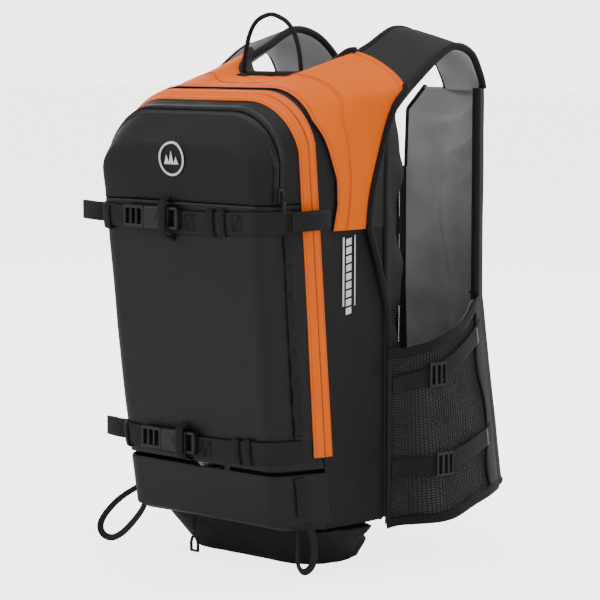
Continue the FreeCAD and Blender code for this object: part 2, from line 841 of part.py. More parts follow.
def make_trigger_handle():
    y0 = chest_y - 10.0
    stem = block(-handle_x - 6, -handle_x + 6, y0 + 8.0, y0 + 16.0, handle_z + 4.0, handle_z + 40.0)
    grip = block(-handle_x - 28, -handle_x + 28, y0 + 5.0, y0 + 17.0, handle_z - 12.0, handle_z + 5.0)
    return grip.fuse(stem).removeSplitter()


def cable_route():
    """Release cable from the inflator, through the left strap, to the trigger pocket."""
    x, y = cylinder_x, cylinder_y
    top = body_low_z + body_height
    route = [vec(x - 22, y + 16, top), vec(x - 22, y + 16.5, top + 30), vec(x - 22, y + 26, top + 64)]
    route += [vec(x - 23, 56, top + 98), vec(x - 26, 57, top + 140), vec(x - 29, 58, neck_z - 30)]
    inner, outer = strap_curves()
    share = (handle_x - strap_inner_x) / (strap_outer_x - strap_inner_x)
    for (ya, za), (yb, zb) in list(zip(inner, outer))[1:6]:
        middle = vec(-handle_x, ya + (yb - ya) * share, za + (zb - za) * share)
        drop = 0.5 * strap_thick
        lean = (middle.y - 0.5 * (shell_back_y + chest_y)) / (chest_y - shell_back_y)
        route.append(middle - vec(0, drop * 1.4 * lean, drop * (1.0 - 0.6 * abs(lean))))
    route.append(vec(-handle_x, chest_y + 1.0, chest_join_z + 4.0))
    route.append(vec(-handle_x, chest_y + 2.0, handle_z + 66.0))
    return route


def cable(extra, report=""):
    return tube(cable_route(), cable_radius + extra, report)


def save(name, shape):
    solids = shape.Solids
    kept = solids[0] if len(solids) == 1 else Part.makeCompound(solids)
    kept.exportStep(os.path.join("parts", name + ".step"))
    box = kept.BoundBox
    print(name, len(solids), round(kept.Volume / 1000.0, 2), "cc",
          [round(v, 1) for v in (box.XMin, box.XMax, box.YMin, box.YMax, box.ZMin, box.ZMax)],
          "" if kept.isValid() else "NOT VALID")


def main():
    os.makedirs("parts", exist_ok=True)
    clear_way = cable(cable_clearance)
    save("main_gusset", make_gusset().cut(clear_way))
    save("yoke", make_yoke().cut(clear_way))
    save("front_shell", make_front_shell())
    save("front_liner", make_front_liner())
    save("pocket_cover", make_cover())
    save("orange_zip_outer", make_orange_tape(False))
    save("orange_zip_inner", make_orange_tape(True))
    save("pocket_zip_outer", make_pocket_tape(False))
    save("pocket_zip_inner", make_pocket_tape(True))
    save("emblem_patch", make_patch())
    save("back_panel", make_back_panel())
    save("base_pad", make_base())
    save("frame_sheet", make_frame_sheet())
    save("frame_stay", make_stay())
    save("airbag_bundle", make_bundle())
    save("inflator_body", make_inflator())
    save("air_intake", make_intake())
    save("inflator_hose", make_hose())
    save("cylinder_clamp", make_clamp())
    save("gas_cylinder", make_cartridge())
    save("piercing_plunger", make_plunger())
    save("release_cable", cable(0.0, "release cable"))
    strap = make_strap()
    chest = make_chest()
    mesh = make_mesh()
    tape = make_vest_tape()
    save("shoulder_strap_right", strap)
    save("shoulder_strap_left", mirrored(strap).cut(clear_way))
    save("chest_panel_right", chest)
    save("chest_panel_left", mirrored(chest))
    save("side_mesh_right", mesh)
    save("side_mesh_left", mirrored(mesh))
    save("vest_zip_tapes", Part.makeCompound([tape, mirrored(tape)]))
    save("vest_zip_slider", make_vest_slider())
    upper = side_strap(upper_side_back_z, upper_side_front_z)
    lower = side_strap(lower_side_back_z, lower_side_front_z)
    save("side_straps_right", Part.makeCompound([upper, lower]))
    save("side_straps_left", Part.makeCompound([mirrored(upper), mirrored(lower)]))
    locks = [ladder_lock(lock_y, upper_lock_z), ladder_lock(lock_y, lower_lock_z)]
    save("ladder_locks", Part.makeCompound(locks + [mirrored(lock) for lock in locks]))
    save("upper_strap", wrap_strap(upper_strap_z, cover_y + 8.0, -300, 300))
    save("lower_strap", wrap_strap(lower_strap_z, face_y(lower_strap_z) + strap_end_y, -300, 300))
    save("upper_tongue", make_tongue(upper_strap_z))
    save("lower_tongue", make_tongue(lower_strap_z))
    receivers = [make_receiver(z) for z in (upper_strap_z, lower_strap_z)]
    save("front_receivers", Part.makeCompound(receivers))
    tails = [strap_tail(upper_strap_z), side_tail(upper_strap_z), strap_tail(lower_strap_z)]
    save("strap_tails", Part.makeCompound(tails))
    save("strap_keepers", make_keepers())
    save("pole_loops", make_pole_loops())
    chain = make_chain()
    save("daisy_chains", Part.makeCompound([chain, mirrored(chain)]))
    save("haul_loop", make_haul_loop())
    save("haul_loop_anchors", make_haul_anchors())
    save("gear_loop_right", make_gear_loop(1))
    save("gear_loop_left", make_gear_loop(-1))
    save("hanging_pull", make_pull())
    save("main_slider_upper", main_slider(lower_strap_z + 160.0))
    save("main_slider_lower", main_slider(lower_strap_z + 120.0))
    save("pocket_slider_right", pocket_slider(1))
    save("pocket_slider_left", pocket_slider(-1))
    left_webs = []
    for name, z, width in (("sternum", sternum_z, sternum_width), ("waist", waist_z, waist_width)):
        web = closure_web(z, width, closure_reach)
        left_webs.append(mirrored(web))
        save(name + "_web", web)
        save(name + "_receiver", closure_receiver(z, width))
        save(name + "_tongue", closure_tongue(z, width))
    save("fixed_webs", Part.makeCompound(left_webs))
    save("trigger_pocket", make_trigger_pocket())
    save("trigger_handle", make_trigger_handle())


main()
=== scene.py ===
import math
import bmesh
import bpy
from mathutils import Matrix, Vector, noise
from mathutils.bvhtree import BVHTree


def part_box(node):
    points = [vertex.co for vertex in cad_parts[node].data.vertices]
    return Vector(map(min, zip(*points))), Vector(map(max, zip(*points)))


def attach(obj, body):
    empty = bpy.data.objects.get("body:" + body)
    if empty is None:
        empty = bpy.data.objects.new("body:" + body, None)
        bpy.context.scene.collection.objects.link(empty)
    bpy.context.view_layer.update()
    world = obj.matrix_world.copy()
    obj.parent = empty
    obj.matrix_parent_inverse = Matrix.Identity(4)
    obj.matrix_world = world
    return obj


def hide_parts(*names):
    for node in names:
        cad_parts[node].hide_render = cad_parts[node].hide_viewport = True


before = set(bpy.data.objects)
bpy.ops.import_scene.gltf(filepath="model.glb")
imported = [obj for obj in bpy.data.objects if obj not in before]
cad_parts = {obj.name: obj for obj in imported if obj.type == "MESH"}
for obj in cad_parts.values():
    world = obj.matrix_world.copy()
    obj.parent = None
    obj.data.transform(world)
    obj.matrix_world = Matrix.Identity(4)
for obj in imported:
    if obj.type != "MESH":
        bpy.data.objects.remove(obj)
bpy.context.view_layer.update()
print("frame loaded")

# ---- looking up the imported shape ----


def surfaceOf(*names):
    bm = bmesh.new()
    for name in names:
        bm.from_mesh(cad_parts[name].data)
    tree = BVHTree.FromBMesh(bm)
    bm.free()
    return tree


packShell = surfaceOf("main_gusset", "front_shell", "pocket_cover")
nudges = [Vector((0, 0, 0)), Vector((0.0011, 0.0011, 0.0013)), Vector((-0.0011, -0.0011, -0.0013))]


def castOn(tree, target, outward, lift=0.0, reach=0.3):
    # the outermost surface point on a line through target, raised by lift
    start = target + outward * reach
    best = None
    for nudge in nudges:
        hit = tree.ray_cast(start + nudge, -outward)
        if hit[0] is not None and (best is None or hit[3] < best):
            best = hit[3]
    if best is None:
        return target + outward * lift
    return target + outward * (reach - best + lift)


def mirrored(side, point):
    # side is 1 on the wearer's right and -1 on the left
    return Vector((side * point.x, point.y, point.z))


def sideName(side):
    return "right" if side > 0 else "left"


def steps(table, at):
    # straight-line value from a rising table, level past its ends
    if at <= table[0][0]:
        return table[0][1]
    for (a, p), (b, q) in zip(table, table[1:]):
        if at <= b:
            return p + (q - p) * (at - a) / (b - a)
    return table[-1][1]


def smoothstep(t):
    t = max(0.0, min(1.0, t))
    return t * t * (3 - 2 * t)


def curvePoint(points, t):
    # smooth point on a run of control points
    count = len(points) - 1
    at = max(0.0, min(0.99999, t)) * count
    i = int(at)
    f = at - i
    p0 = points[max(i - 1, 0)]
    p1 = points[i]
    p2 = points[i + 1]
    p3 = points[min(i + 2, count)]
    return 0.5 * ((2 * p1) + (p2 - p0) * f + (2 * p0 - 5 * p1 + 4 * p2 - p3) * f * f
                  + (3 * p1 - p0 - 3 * p2 + p3) * f * f * f)


pack = {
    "faceY": [(0.050, -0.070), (0.146, -0.083), (0.2755, -0.098), (0.479, -0.116)],
    "halfFront": [(0.050, 0.112), (0.424, 0.126)],
    "edgeRadius": 0.022,
    "crownRadius": 0.064,
    "faceTop": 0.524,
    "foldZ": 0.120,
    "flapZ": 0.424,
    "coverY": -0.0905,
}


def zipY(z):
    return -0.022 - 0.085 * (z - 0.137)


def wrapPoint(x, z, lift=0.0):
    # flat cloth coordinates on the front face, carried round its edges to the sides and top
    r = pack["edgeRadius"]
    half = steps(pack["halfFront"], z) - r
    top = pack["faceTop"] - r
    corner = pack["crownRadius"] - r
    ix = max(-(half - corner), min(half - corner, x))
    iz = min(z, top - corner)
    dx, dz = x - ix, z - iz
    dist = math.hypot(dx, dz)
    over = dist - corner
    if dist < 1e-9 or over <= 0:
        return castOn(packShell, Vector((x, steps(pack["faceY"], z), z)), Vector((0, -1, 0)), lift)
    ex, ez = dx / dist, dz / dist
    angle = min(over / r, math.pi / 2)
    beyond = max(0.0, over - r * math.pi / 2)
    cx, cz = ix + ex * corner, iz + ez * corner
    target = Vector((cx, steps(pack["faceY"], cz) + r + beyond, cz))
    outward = Vector((math.sin(angle) * ex, -math.cos(angle), math.sin(angle) * ez))
    return castOn(packShell, target, outward, lift)


rimPath = {"coreX": 0.078, "coreZ": 0.478, "reach": 0.068}


def rimFrame(s, low):
    # place and outward way on the inverted U that runs up one side, over the top and down the other
    side = rimPath["coreZ"] - low
    bend = rimPath["reach"] * math.pi / 2
    top = 2 * rimPath["coreX"]
    at = s * (2 * side + 2 * bend + top)
    cx, cz = rimPath["coreX"], rimPath["coreZ"]
    if at < side:
        return Vector((-cx, 0, low + at)), Vector((-1, 0, 0))
    at -= side
    if at < bend:
        a = at / rimPath["reach"]
        return Vector((-cx, 0, cz)), Vector((-math.cos(a), 0, math.sin(a)))
    at -= bend
    if at < top:
        return Vector((-cx + at, 0, cz)), Vector((0, 0, 1))
    at -= top
    if at < bend:
        a = at / rimPath["reach"]
        return Vector((cx, 0, cz)), Vector((math.sin(a), 0, math.cos(a)))
    return Vector((cx, 0, cz - (at - bend))), Vector((1, 0, 0))


def rimLength(low):
    return 2 * (rimPath["coreZ"] - low) + math.pi * rimPath["reach"] + 2 * rimPath["coreX"]


def rimPoint(s, y, low, lift=0.0):
    spot, outward = rimFrame(s, low)
    return castOn(packShell, Vector((spot.x, y, spot.z)), outward, lift)


def rimHeight(s, low):
    spot, outward = rimFrame(s, low)
    return spot.z + outward.z * 0.075


# ---- materials ----


def newGroup(name, inputs, outputs):
    tree = bpy.data.node_groups.new(name, "ShaderNodeTree")
    for label, kind, value in inputs:
        socket = tree.interface.new_socket(name=label, in_out="INPUT", socket_type=kind)
        if value is not None:
            socket.default_value = value
    for label, kind in outputs:
        tree.interface.new_socket(name=label, in_out="OUTPUT", socket_type=kind)
    return tree, tree.nodes.new("NodeGroupInput"), tree.nodes.new("NodeGroupOutput")


def mathNode(tree, operation, a, b=None, c=None):
    node = tree.nodes.new("ShaderNodeMath")
    node.operation = operation
    for i, value in enumerate((a, b, c)):
        if value is None:
            continue
        if isinstance(value, (int, float)):
            node.inputs[i].default_value = value
        else:
            tree.links.new(value, node.inputs[i])
    return node.outputs[0]


def weaveGroup():
    # crossed threads; Vector is in metres along the cloth
    tree, inside, out = newGroup(
        "wovenThreads",
        [("Vector", "NodeSocketVector", None), ("Pitch", "NodeSocketFloat", 0.001),
         ("Cross", "NodeSocketFloat", 1.0)],
        [("Height", "NodeSocketFloat"), ("Shade", "NodeSocketFloat")])
    split = tree.nodes.new("ShaderNodeSeparateXYZ")
    tree.links.new(inside.outputs["Vector"], split.inputs[0])
    u = mathNode(tree, "DIVIDE", split.outputs[0], inside.outputs["Pitch"])
    v = mathNode(tree, "DIVIDE", split.outputs[1], inside.outputs["Pitch"])
    su = mathNode(tree, "SINE", mathNode(tree, "MULTIPLY", u, 2 * math.pi))
    sv = mathNode(tree, "SINE", mathNode(tree, "MULTIPLY", v, 2 * math.pi))
    crossed = mathNode(tree, "MULTIPLY", su, sv)
    ribs = mathNode(tree, "ABSOLUTE", su)
    mixed = tree.nodes.new("ShaderNodeMix")
    tree.links.new(inside.outputs["Cross"], mixed.inputs[0])
    tree.links.new(ribs, mixed.inputs[2])
    tree.links.new(crossed, mixed.inputs[3])
    tree.links.new(mixed.outputs[0], out.inputs["Height"])
    tree.links.new(mathNode(tree, "MULTIPLY_ADD", mixed.outputs[0], 0.5, 0.5), out.inputs["Shade"])
    return tree


def cloudGroup():
    # soft uneven patches for dye, dust and handling, and on the lining painted satin highlight and shade
    tree, inside, out = newGroup(
        "handlingPatchesAndPaintedSheen",
        [("Vector", "NodeSocketVector", None), ("Scale", "NodeSocketFloat", 8.0),
         ("Contrast", "NodeSocketFloat", 1.0)],
        [("Mask", "NodeSocketFloat"), ("Crumple", "NodeSocketFloat")])
    wide = tree.nodes.new("ShaderNodeTexNoise")
    wide.inputs["Detail"].default_value = 6
    tree.links.new(inside.outputs["Vector"], wide.inputs["Vector"])
    tree.links.new(inside.outputs["Scale"], wide.inputs["Scale"])
    centred = mathNode(tree, "SUBTRACT", wide.outputs[0], 0.5)
    strong = mathNode(tree, "MULTIPLY", centred, inside.outputs["Contrast"])
    tree.links.new(mathNode(tree, "ADD", strong, 0.5), out.inputs["Mask"])
    ridge = tree.nodes.new("ShaderNodeTexNoise")
    ridge.noise_type = "RIDGED_MULTIFRACTAL"
    ridge.inputs["Detail"].default_value = 3
    tree.links.new(inside.outputs["Vector"], ridge.inputs["Vector"])
    tree.links.new(mathNode(tree, "MULTIPLY", inside.outputs["Scale"], 1.7), ridge.inputs["Scale"])
    tree.links.new(ridge.outputs[0], out.inputs["Crumple"])
    return tree


groups = {"weave": weaveGroup(), "clouds": cloudGroup()}


def addGroup(tree, group, **values):
    node = tree.nodes.new("ShaderNodeGroup")
    node.node_tree = group
    for name, value in values.items():
        if isinstance(value, bpy.types.NodeSocket):
            tree.links.new(value, node.inputs[name])
        else:
            node.inputs[name].default_value = value
    return node


def startMaterial(name):
    made = bpy.data.materials.new(name)
    made.use_nodes = True
    shader = made.node_tree.nodes["Principled BSDF"]
    coords = made.node_tree.nodes.new("ShaderNodeTexCoord")
    return made, made.node_tree, shader, coords


def shadeBetween(tree, mask, dark, light):
    ramp = tree.nodes.new("ShaderNodeMix")
    ramp.data_type = "RGBA"
    tree.links.new(mask, ramp.inputs[0])
    ramp.inputs[6].default_value = (*dark, 1)
    ramp.inputs[7].default_value = (*light, 1)
    return ramp.outputs[2]


def clothMaterial(name, look):
    made, tree, shader, coords = startMaterial(name)
    weave = addGroup(tree, groups["weave"], Vector=coords.outputs["UV"], Pitch=look["pitch"],
                     Cross=look["cross"])
    clouds = addGroup(tree, groups["clouds"], Vector=coords.outputs["Object"],
                      Scale=look["patches"], Contrast=1.6)
    # the patch mask sets the base colour; on the lining its wide range paints satin highlight and shade
    tone = mathNode(tree, "MULTIPLY_ADD", weave.outputs["Shade"], look["threadShade"],
                    mathNode(tree, "MULTIPLY", clouds.outputs["Mask"], 1 - look["threadShade"]))
    tree.links.new(shadeBetween(tree, tone, look["dark"], look["light"]),
                   shader.inputs["Base Color"])
    rough = mathNode(tree, "MULTIPLY_ADD", clouds.outputs["Mask"], look["roughSpread"],
                     look["rough"])
    tree.links.new(rough, shader.inputs["Roughness"])
    height = mathNode(tree, "MULTIPLY_ADD", clouds.outputs["Crumple"], look["crumple"],
                      mathNode(tree, "MULTIPLY", weave.outputs["Height"], look["thread"]))
    bump = tree.nodes.new("ShaderNodeBump")
    bump.inputs["Distance"].default_value = 1.0
    bump.inputs["Strength"].default_value = 0.6
    tree.links.new(height, bump.inputs["Height"])
    tree.links.new(bump.outputs[0], shader.inputs["Normal"])
    shader.inputs["Sheen Weight"].default_value = look["sheen"]
    shader.inputs["Sheen Roughness"].default_value = 0.4
    shader.inputs["Specular IOR Level"].default_value = look["specular"]
    return made


def mouldedMaterial(name, look):
    made, tree, shader, coords = startMaterial(name)
    clouds = addGroup(tree, groups["clouds"], Vector=coords.outputs["Object"],
                      Scale=look["patches"], Contrast=2.0)
    tree.links.new(shadeBetween(tree, clouds.outputs["Mask"], look["dark"], look["light"]),
                   shader.inputs["Base Color"])
    rough = mathNode(tree, "MULTIPLY_ADD", clouds.outputs["Mask"], 0.18, look["rough"])
    tree.links.new(rough, shader.inputs["Roughness"])
    shader.inputs["Metallic"].default_value = look["metallic"]
    shader.inputs["Specular IOR Level"].default_value = look.get("specular", 0.5)
    grain = tree.nodes.new("ShaderNodeTexNoise")
    grain.inputs["Scale"].default_value = 1400
    tree.links.new(coords.outputs["Object"], grain.inputs["Vector"])
    bump = tree.nodes.new("ShaderNodeBump")
    bump.inputs["Distance"].default_value = 1.0
    bump.inputs["Strength"].default_value = 0.5
    tree.links.new(mathNode(tree, "MULTIPLY", grain.outputs[0], look["grain"]),
                   bump.inputs["Height"])
    tree.links.new(bump.outputs[0], shader.inputs["Normal"])
    return made


clothLooks = {
    "softshell": dict(dark=(0.0045, 0.0045, 0.005), light=(0.0105, 0.0105, 0.0115), rough=0.52,
                      roughSpread=0.2, pitch=0.0016, cross=1.0, thread=0.00004, threadShade=0.25,
                      patches=14, crumple=0.0004, sheen=0.03, specular=0.28),
    "coated": dict(dark=(0.0045, 0.0045, 0.005), light=(0.009, 0.009, 0.0097), rough=0.40,
                   roughSpread=0.22, pitch=0.0012, cross=1.0, thread=0.00002, threadShade=0.12,
                   patches=9, crumple=0.0006, sheen=0.01, specular=0.32),
    "gusset": dict(dark=(0.004, 0.004, 0.0045), light=(0.0085, 0.0085, 0.009), rough=0.50,
                   roughSpread=0.2, pitch=0.0014, cross=1.0, thread=0.00003, threadShade=0.2,
                   patches=10, crumple=0.0008, sheen=0.02, specular=0.28),
    "orangeCloth": dict(dark=(0.84, 0.130, 0.001), light=(0.99, 0.178, 0.002), rough=0.62,
                        roughSpread=0.15, pitch=0.0014, cross=1.0, thread=0.00003, threadShade=0.3,
                        patches=12, crumple=0.0006, sheen=0.0, specular=0.15),
    "orangeTape": dict(dark=(0.88, 0.138, 0.001), light=(1.0, 0.180, 0.002), rough=0.45,
                       roughSpread=0.12, pitch=0.0011, cross=1.0, thread=0.00002, threadShade=0.15,
                       patches=16, crumple=0.0002, sheen=0.0, specular=0.2),
    "blackTape": dict(dark=(0.003, 0.003, 0.003), light=(0.008, 0.008, 0.0085), rough=0.40,
                      roughSpread=0.15, pitch=0.0011, cross=1.0, thread=0.00003, threadShade=0.3,
                      patches=16, crumple=0.0002, sheen=0.0, specular=0.35),
    "webbing": dict(dark=(0.003, 0.003, 0.003), light=(0.016, 0.016, 0.017), rough=0.6,
                    roughSpread=0.2, pitch=0.0022, cross=0.35, thread=0.00018, threadShade=0.65,
                    patches=20, crumple=0.0002, sheen=0.03, specular=0.25),
    "binding": dict(dark=(0.003, 0.003, 0.003), light=(0.011, 0.011, 0.0115), rough=0.62,
                    roughSpread=0.15, pitch=0.0015, cross=0.2, thread=0.0001, threadShade=0.5,
                    patches=20, crumple=0.0001, sheen=0.03, specular=0.22),
    # the lining's wide dark-to-light range over the patches is painted satin highlight and shade, not dye
    "lining": dict(dark=(0.13, 0.13, 0.135), light=(0.52, 0.52, 0.53), rough=0.36, roughSpread=0.2,
                   pitch=0.0012, cross=1.0, thread=0.00003, threadShade=0.2, patches=11,
                   crumple=0.0012, sheen=0.05, specular=0.5),
    "meshBacking": dict(dark=(0.025, 0.025, 0.026), light=(0.26, 0.26, 0.265), rough=0.5,
                        roughSpread=0.2, pitch=0.0012, cross=1.0, thread=0.00002, threadShade=0.1,
                        patches=17, crumple=0.001, sheen=0.0, specular=0.3),
    "openMesh": dict(dark=(0.004, 0.004, 0.004), light=(0.016, 0.016, 0.0165), rough=0.55,
                     roughSpread=0.2, pitch=0.0014, cross=1.0, thread=0.00004, threadShade=0.4,
                     patches=20, crumple=0.0002, sheen=0.03, specular=0.25),
    "spacer": dict(dark=(0.004, 0.004, 0.0045), light=(0.022, 0.022, 0.023), rough=0.75,
                   roughSpread=0.15, pitch=0.0042, cross=1.0, thread=0.0006, threadShade=0.8,
                   patches=12, crumple=0.0004, sheen=0.03, specular=0.2),
}
mouldedLooks = {
    "acetal": dict(dark=(0.006, 0.006, 0.0065), light=(0.016, 0.016, 0.017), rough=0.36,
                   metallic=0.0, patches=60, grain=0.00006, specular=0.4),
    "blackMetal": dict(dark=(0.02, 0.02, 0.022), light=(0.06, 0.06, 0.065), rough=0.30,
                       metallic=0.9, patches=60, grain=0.00002),
    "anodised": dict(dark=(0.55, 0.56, 0.58), light=(0.75, 0.76, 0.78), rough=0.28, metallic=1.0,
                     patches=30, grain=0.00002),
    "gripRed": dict(dark=(0.55, 0.045, 0.005), light=(0.78, 0.085, 0.008), rough=0.4, metallic=0.0,
                    patches=40, grain=0.00008),
    "sheath": dict(dark=(0.008, 0.008, 0.008), light=(0.02, 0.02, 0.02), rough=0.45, metallic=0.0,
                   patches=50, grain=0.00004),
    "whitePrint": dict(dark=(0.62, 0.62, 0.62), light=(0.86, 0.86, 0.85), rough=0.45, metallic=0.0,
                       patches=40, grain=0.00002),
}
mats = {name: clothMaterial(name, look) for name, look in clothLooks.items()}
mats.update({name: mouldedMaterial(name, look) for name, look in mouldedLooks.items()})
print("materials made", len(mats))

# ---- piece builders ----


def finishPiece(name, bm, body, material, replaced=(), smooth=True):
    mesh = bpy.data.meshes.new(name)
    if smooth:
        for face in bm.faces:
            face.smooth = True
    bm.to_mesh(mesh)
    bm.free()
    piece = bpy.data.objects.new(name, mesh)
    bpy.context.scene.collection.objects.link(piece)
    for each in material if isinstance(material, (list, tuple)) else [material]:
        mesh.materials.append(mats[each])
    if body:
        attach(piece, body)
    if replaced:
        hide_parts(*replaced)
    return piece


def gridCloth(across, along, place, size):
    # a cloth grid; place carries (u, v), each from 0 to 1, into space, and size is its flat size
    # in metres
    bm = bmesh.new()
    bmesh.ops.create_grid(bm, x_segments=across, y_segments=along, size=1.0, calc_uvs=True)
    layer = bm.loops.layers.uv.verify()
    for face in bm.faces:
        for loop in face.loops:
            u, v = (loop.vert.co.x + 1) / 2, (loop.vert.co.y + 1) / 2
            loop[layer].uv = (u * size[0], v * size[1])
    for vert in bm.verts:
        u, v = (vert.co.x + 1) / 2, (vert.co.y + 1) / 2
        vert.co = place(u, v)
    bm.normal_update()
    return bm


def faceOut(bm, centre):
    # turns an open cloth so that its front points away from a centre
    total = sum((face.normal.dot(face.calc_center_median() - centre) * face.calc_area()
                 for face in bm.faces), 0.0)
    if total < 0:
        bmesh.ops.reverse_faces(bm, faces=bm.faces)
        bm.normal_update()


packMiddle = Vector((0, 0.0, 0.3))


def thicken(piece, thickness, offset=-1.0):
    wall = piece.modifiers.new("wall", "SOLIDIFY")
    wall.thickness = thickness
    wall.offset = offset
    wall.use_even_offset = False
    return piece


def rumple(point, scale, depth, seed=0.0):
    # soft fold height at a point, the same on every run
    spot = Vector((point.x * scale[0], point.y * scale[1], point.z * scale[2] + seed))
    return depth * (noise.noise(spot) + 0.5 * noise.noise(spot * 2.1))


def pipe(name, points, radius, body, material, replaced=(), cyclic=False):
    # round piping along a run of points
    data = bpy.data.curves.new(name, "CURVE")
    data.dimensions = "3D"
    data.bevel_depth = radius
    data.bevel_resolution = 3
    data.use_fill_caps = True
    spline = data.splines.new("POLY")
    spline.points.add(len(points) - 1)
    for target, point in zip(spline.points, points):
        target.co = (*point, 1)
    spline.use_cyclic_u = cyclic
    data.materials.append(mats[material])
    piece = bpy.data.objects.new(name, data)
    bpy.context.scene.collection.objects.link(piece)
    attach(piece, body)
    if replaced:
        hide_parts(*replaced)
    return piece


def stitches(name, runs, body, material="webbing", pitch=0.0042, size=0.0009, lift=0.0004):
    # thread seen as short raised dashes along each run of (point, outward) pairs
    bm = bmesh.new()
    for run in runs:
        carry = 0.0
        for (a, na), (b, nb) in zip(run, run[1:]):
            length = (b - a).length
            if length < 1e-7:
                continue
            way = (b - a) / length
            at = carry
            while at < length:
                outward = na.lerp(nb, at / length).normalized()
                side = way.cross(outward).normalized()
                spot = a + way * at + outward * lift
                basis = Matrix((way, side, outward)).transposed().to_4x4()
                scale = Matrix.Diagonal((pitch * 0.62, size, size * 0.8, 1.0))
                bmesh.ops.create_cube(bm, size=1.0, matrix=Matrix.Translation(spot) @ basis @ scale)
                at += pitch
            carry = at - length
    return finishPiece(name, bm, body, material, smooth=False)


def runOf(place, count=60, reverse=False):
    # sampled points and outward directions along a function of 0 to 1
    samples = [place(i / count) for i in range(count + 1)]
    return samples[::-1] if reverse else samples


# ---- camera, floor and lights ----

view = {"target": Vector((0.030, 0.060, 0.300)), "azimuth": 41.0, "elevation": 6.5, "distance": 2.7,
        "lens": 137.7}


def makeCamera():
    th, ph = math.radians(view["azimuth"]), math.radians(view["elevation"])
    away = Vector((math.sin(th) * math.cos(ph), -math.cos(th) * math.cos(ph), math.sin(ph)))
    data = bpy.data.cameras.new("camera")
    data.lens = view["lens"]
    data.sensor_width = 36
    data.clip_end = 100
    camera = bpy.data.objects.new("camera", data)
    bpy.context.scene.collection.objects.link(camera)
    camera.location = view["target"] + away * view["distance"]
    camera.rotation_euler = (-away).to_track_quat("-Z", "Y").to_euler()
    bpy.context.scene.camera = camera


lamps = {
    "key": dict(place=(-1.6, -2.6, 2.4), size=2.2, power=56),
    "fill": dict(place=(3.0, -1.4, 1.5), size=2.6, power=30),
    "top": dict(place=(0.2, 0.4, 3.2), size=2.8, power=44),
    "back": dict(place=(1.2, 3.2, 1.9), size=2.0, power=42),
    "leftBack": dict(place=(-2.8, 1.8, 1.6), size=1.8, power=30),
}


studio = {"ambient": 0.46, "backdrop": 3.5, "floor": 3.2}


def makeLights():
    for name, lamp in lamps.items():
        data = bpy.data.lights.new(name, "AREA")
        data.shape = "DISK"
        data.size = lamp["size"]
        data.energy = lamp["power"]
        light = bpy.data.objects.new(name, data)
        bpy.context.scene.collection.objects.link(light)
        light.location = lamp["place"]
        aim = Vector((0.0, 0.06, 0.3)) - Vector(lamp["place"])
        light.rotation_euler = aim.to_track_quat("-Z", "Y").to_euler()
    world = bpy.data.worlds.new("studio")
    world.use_nodes = True
    backdrop = world.node_tree.nodes["Background"]
    backdrop.inputs[0].default_value = (1.0, 1.0, 1.0, 1)
    path = world.node_tree.nodes.new("ShaderNodeLightPath")
    glow = mathNode(world.node_tree, "MULTIPLY_ADD", path.outputs["Is Camera Ray"],
                    studio["backdrop"], studio["ambient"])
    world.node_tree.links.new(glow, backdrop.inputs[1])
    bpy.context.scene.world = world


def makeFloor():
    bm = bmesh.new()
    bmesh.ops.create_grid(bm, x_segments=4, y_segments=4, size=20.0)
    bmesh.ops.translate(bm, verts=bm.verts, vec=(0, 0, -0.0002))
    made, tree, shader, coords = startMaterial("floorPaper")
    clouds = addGroup(tree, groups["clouds"], Vector=coords.outputs["Object"], Scale=0.8,
                      Contrast=0.4)
    tree.links.new(shadeBetween(tree, clouds.outputs["Mask"], (0.90, 0.90, 0.90),
                                (0.93, 0.93, 0.93)),
                   shader.inputs["Base Color"])
    shader.inputs["Roughness"].default_value = 0.9
    shader.inputs["Specular IOR Level"].default_value = 0.1
    shader.inputs["Emission Color"].default_value = (1, 1, 1, 1)
    path = tree.nodes.new("ShaderNodeLightPath")
    glow = mathNode(tree, "MULTIPLY", path.outputs["Is Camera Ray"], studio["floor"])
    tree.links.new(glow, shader.inputs["Emission Strength"])
    mats["floorPaper"] = made
    mesh = bpy.data.meshes.new("floor")
    bm.to_mesh(mesh)
    bm.free()
    mesh.materials.append(made)
    floor = bpy.data.objects.new("floor", mesh)
    bpy.context.scene.collection.objects.link(floor)


makeCamera()
makeLights()
makeFloor()
print("camera, lights and floor")

# ---- gear loops: flat tape loops that hang from the lower front corners ----

gearLoops = {
    "turn": 1.0,
    "right": dict(points=[(0.114, -0.042, 0.076), (0.128, -0.038, 0.062), (0.139, -0.040, 0.044),
                          (0.144, -0.046, 0.026), (0.142, -0.050, 0.014), (0.131, -0.051, 0.007),
                          (0.120, -0.048, 0.014), (0.117, -0.044, 0.029), (0.115, -0.041, 0.046),
                          (0.114, -0.040, 0.062)], twist=1.2),
    "left": dict(points=[(-0.116, -0.052, 0.080), (-0.140, -0.062, 0.066), (-0.164, -0.068, 0.044),
                         (-0.178, -0.070, 0.024), (-0.175, -0.068, 0.011), (-0.163, -0.064, 0.007),
                         (-0.150, -0.060, 0.014), (-0.136, -0.056, 0.028), (-0.120, -0.050, 0.050),
                         (-0.115, -0.049, 0.066)], twist=0.9),
    "width": 0.008,
    "thick": 0.0014,
}


def splinePoints(name, points, resolution=10):
    # the smooth line of a route, read back from its NURBS curve
    data = bpy.data.curves.new(name + "Line", "CURVE")
    data.dimensions = "3D"
    data.resolution_u = resolution
    spline = data.splines.new("NURBS")
    spline.points.add(len(points) - 1)
    for target, point in zip(spline.points, points):
        target.co = (*point, 1)
    spline.order_u = 3
    spline.use_endpoint_u = True
    holder = bpy.data.objects.new(name + "Line", data)
    bpy.context.scene.collection.objects.link(holder)
    mesh = bpy.data.meshes.new_from_object(holder)
    line = [vert.co.copy() for vert in mesh.vertices]
    bpy.data.objects.remove(holder)
    bpy.data.meshes.remove(mesh)
    return line


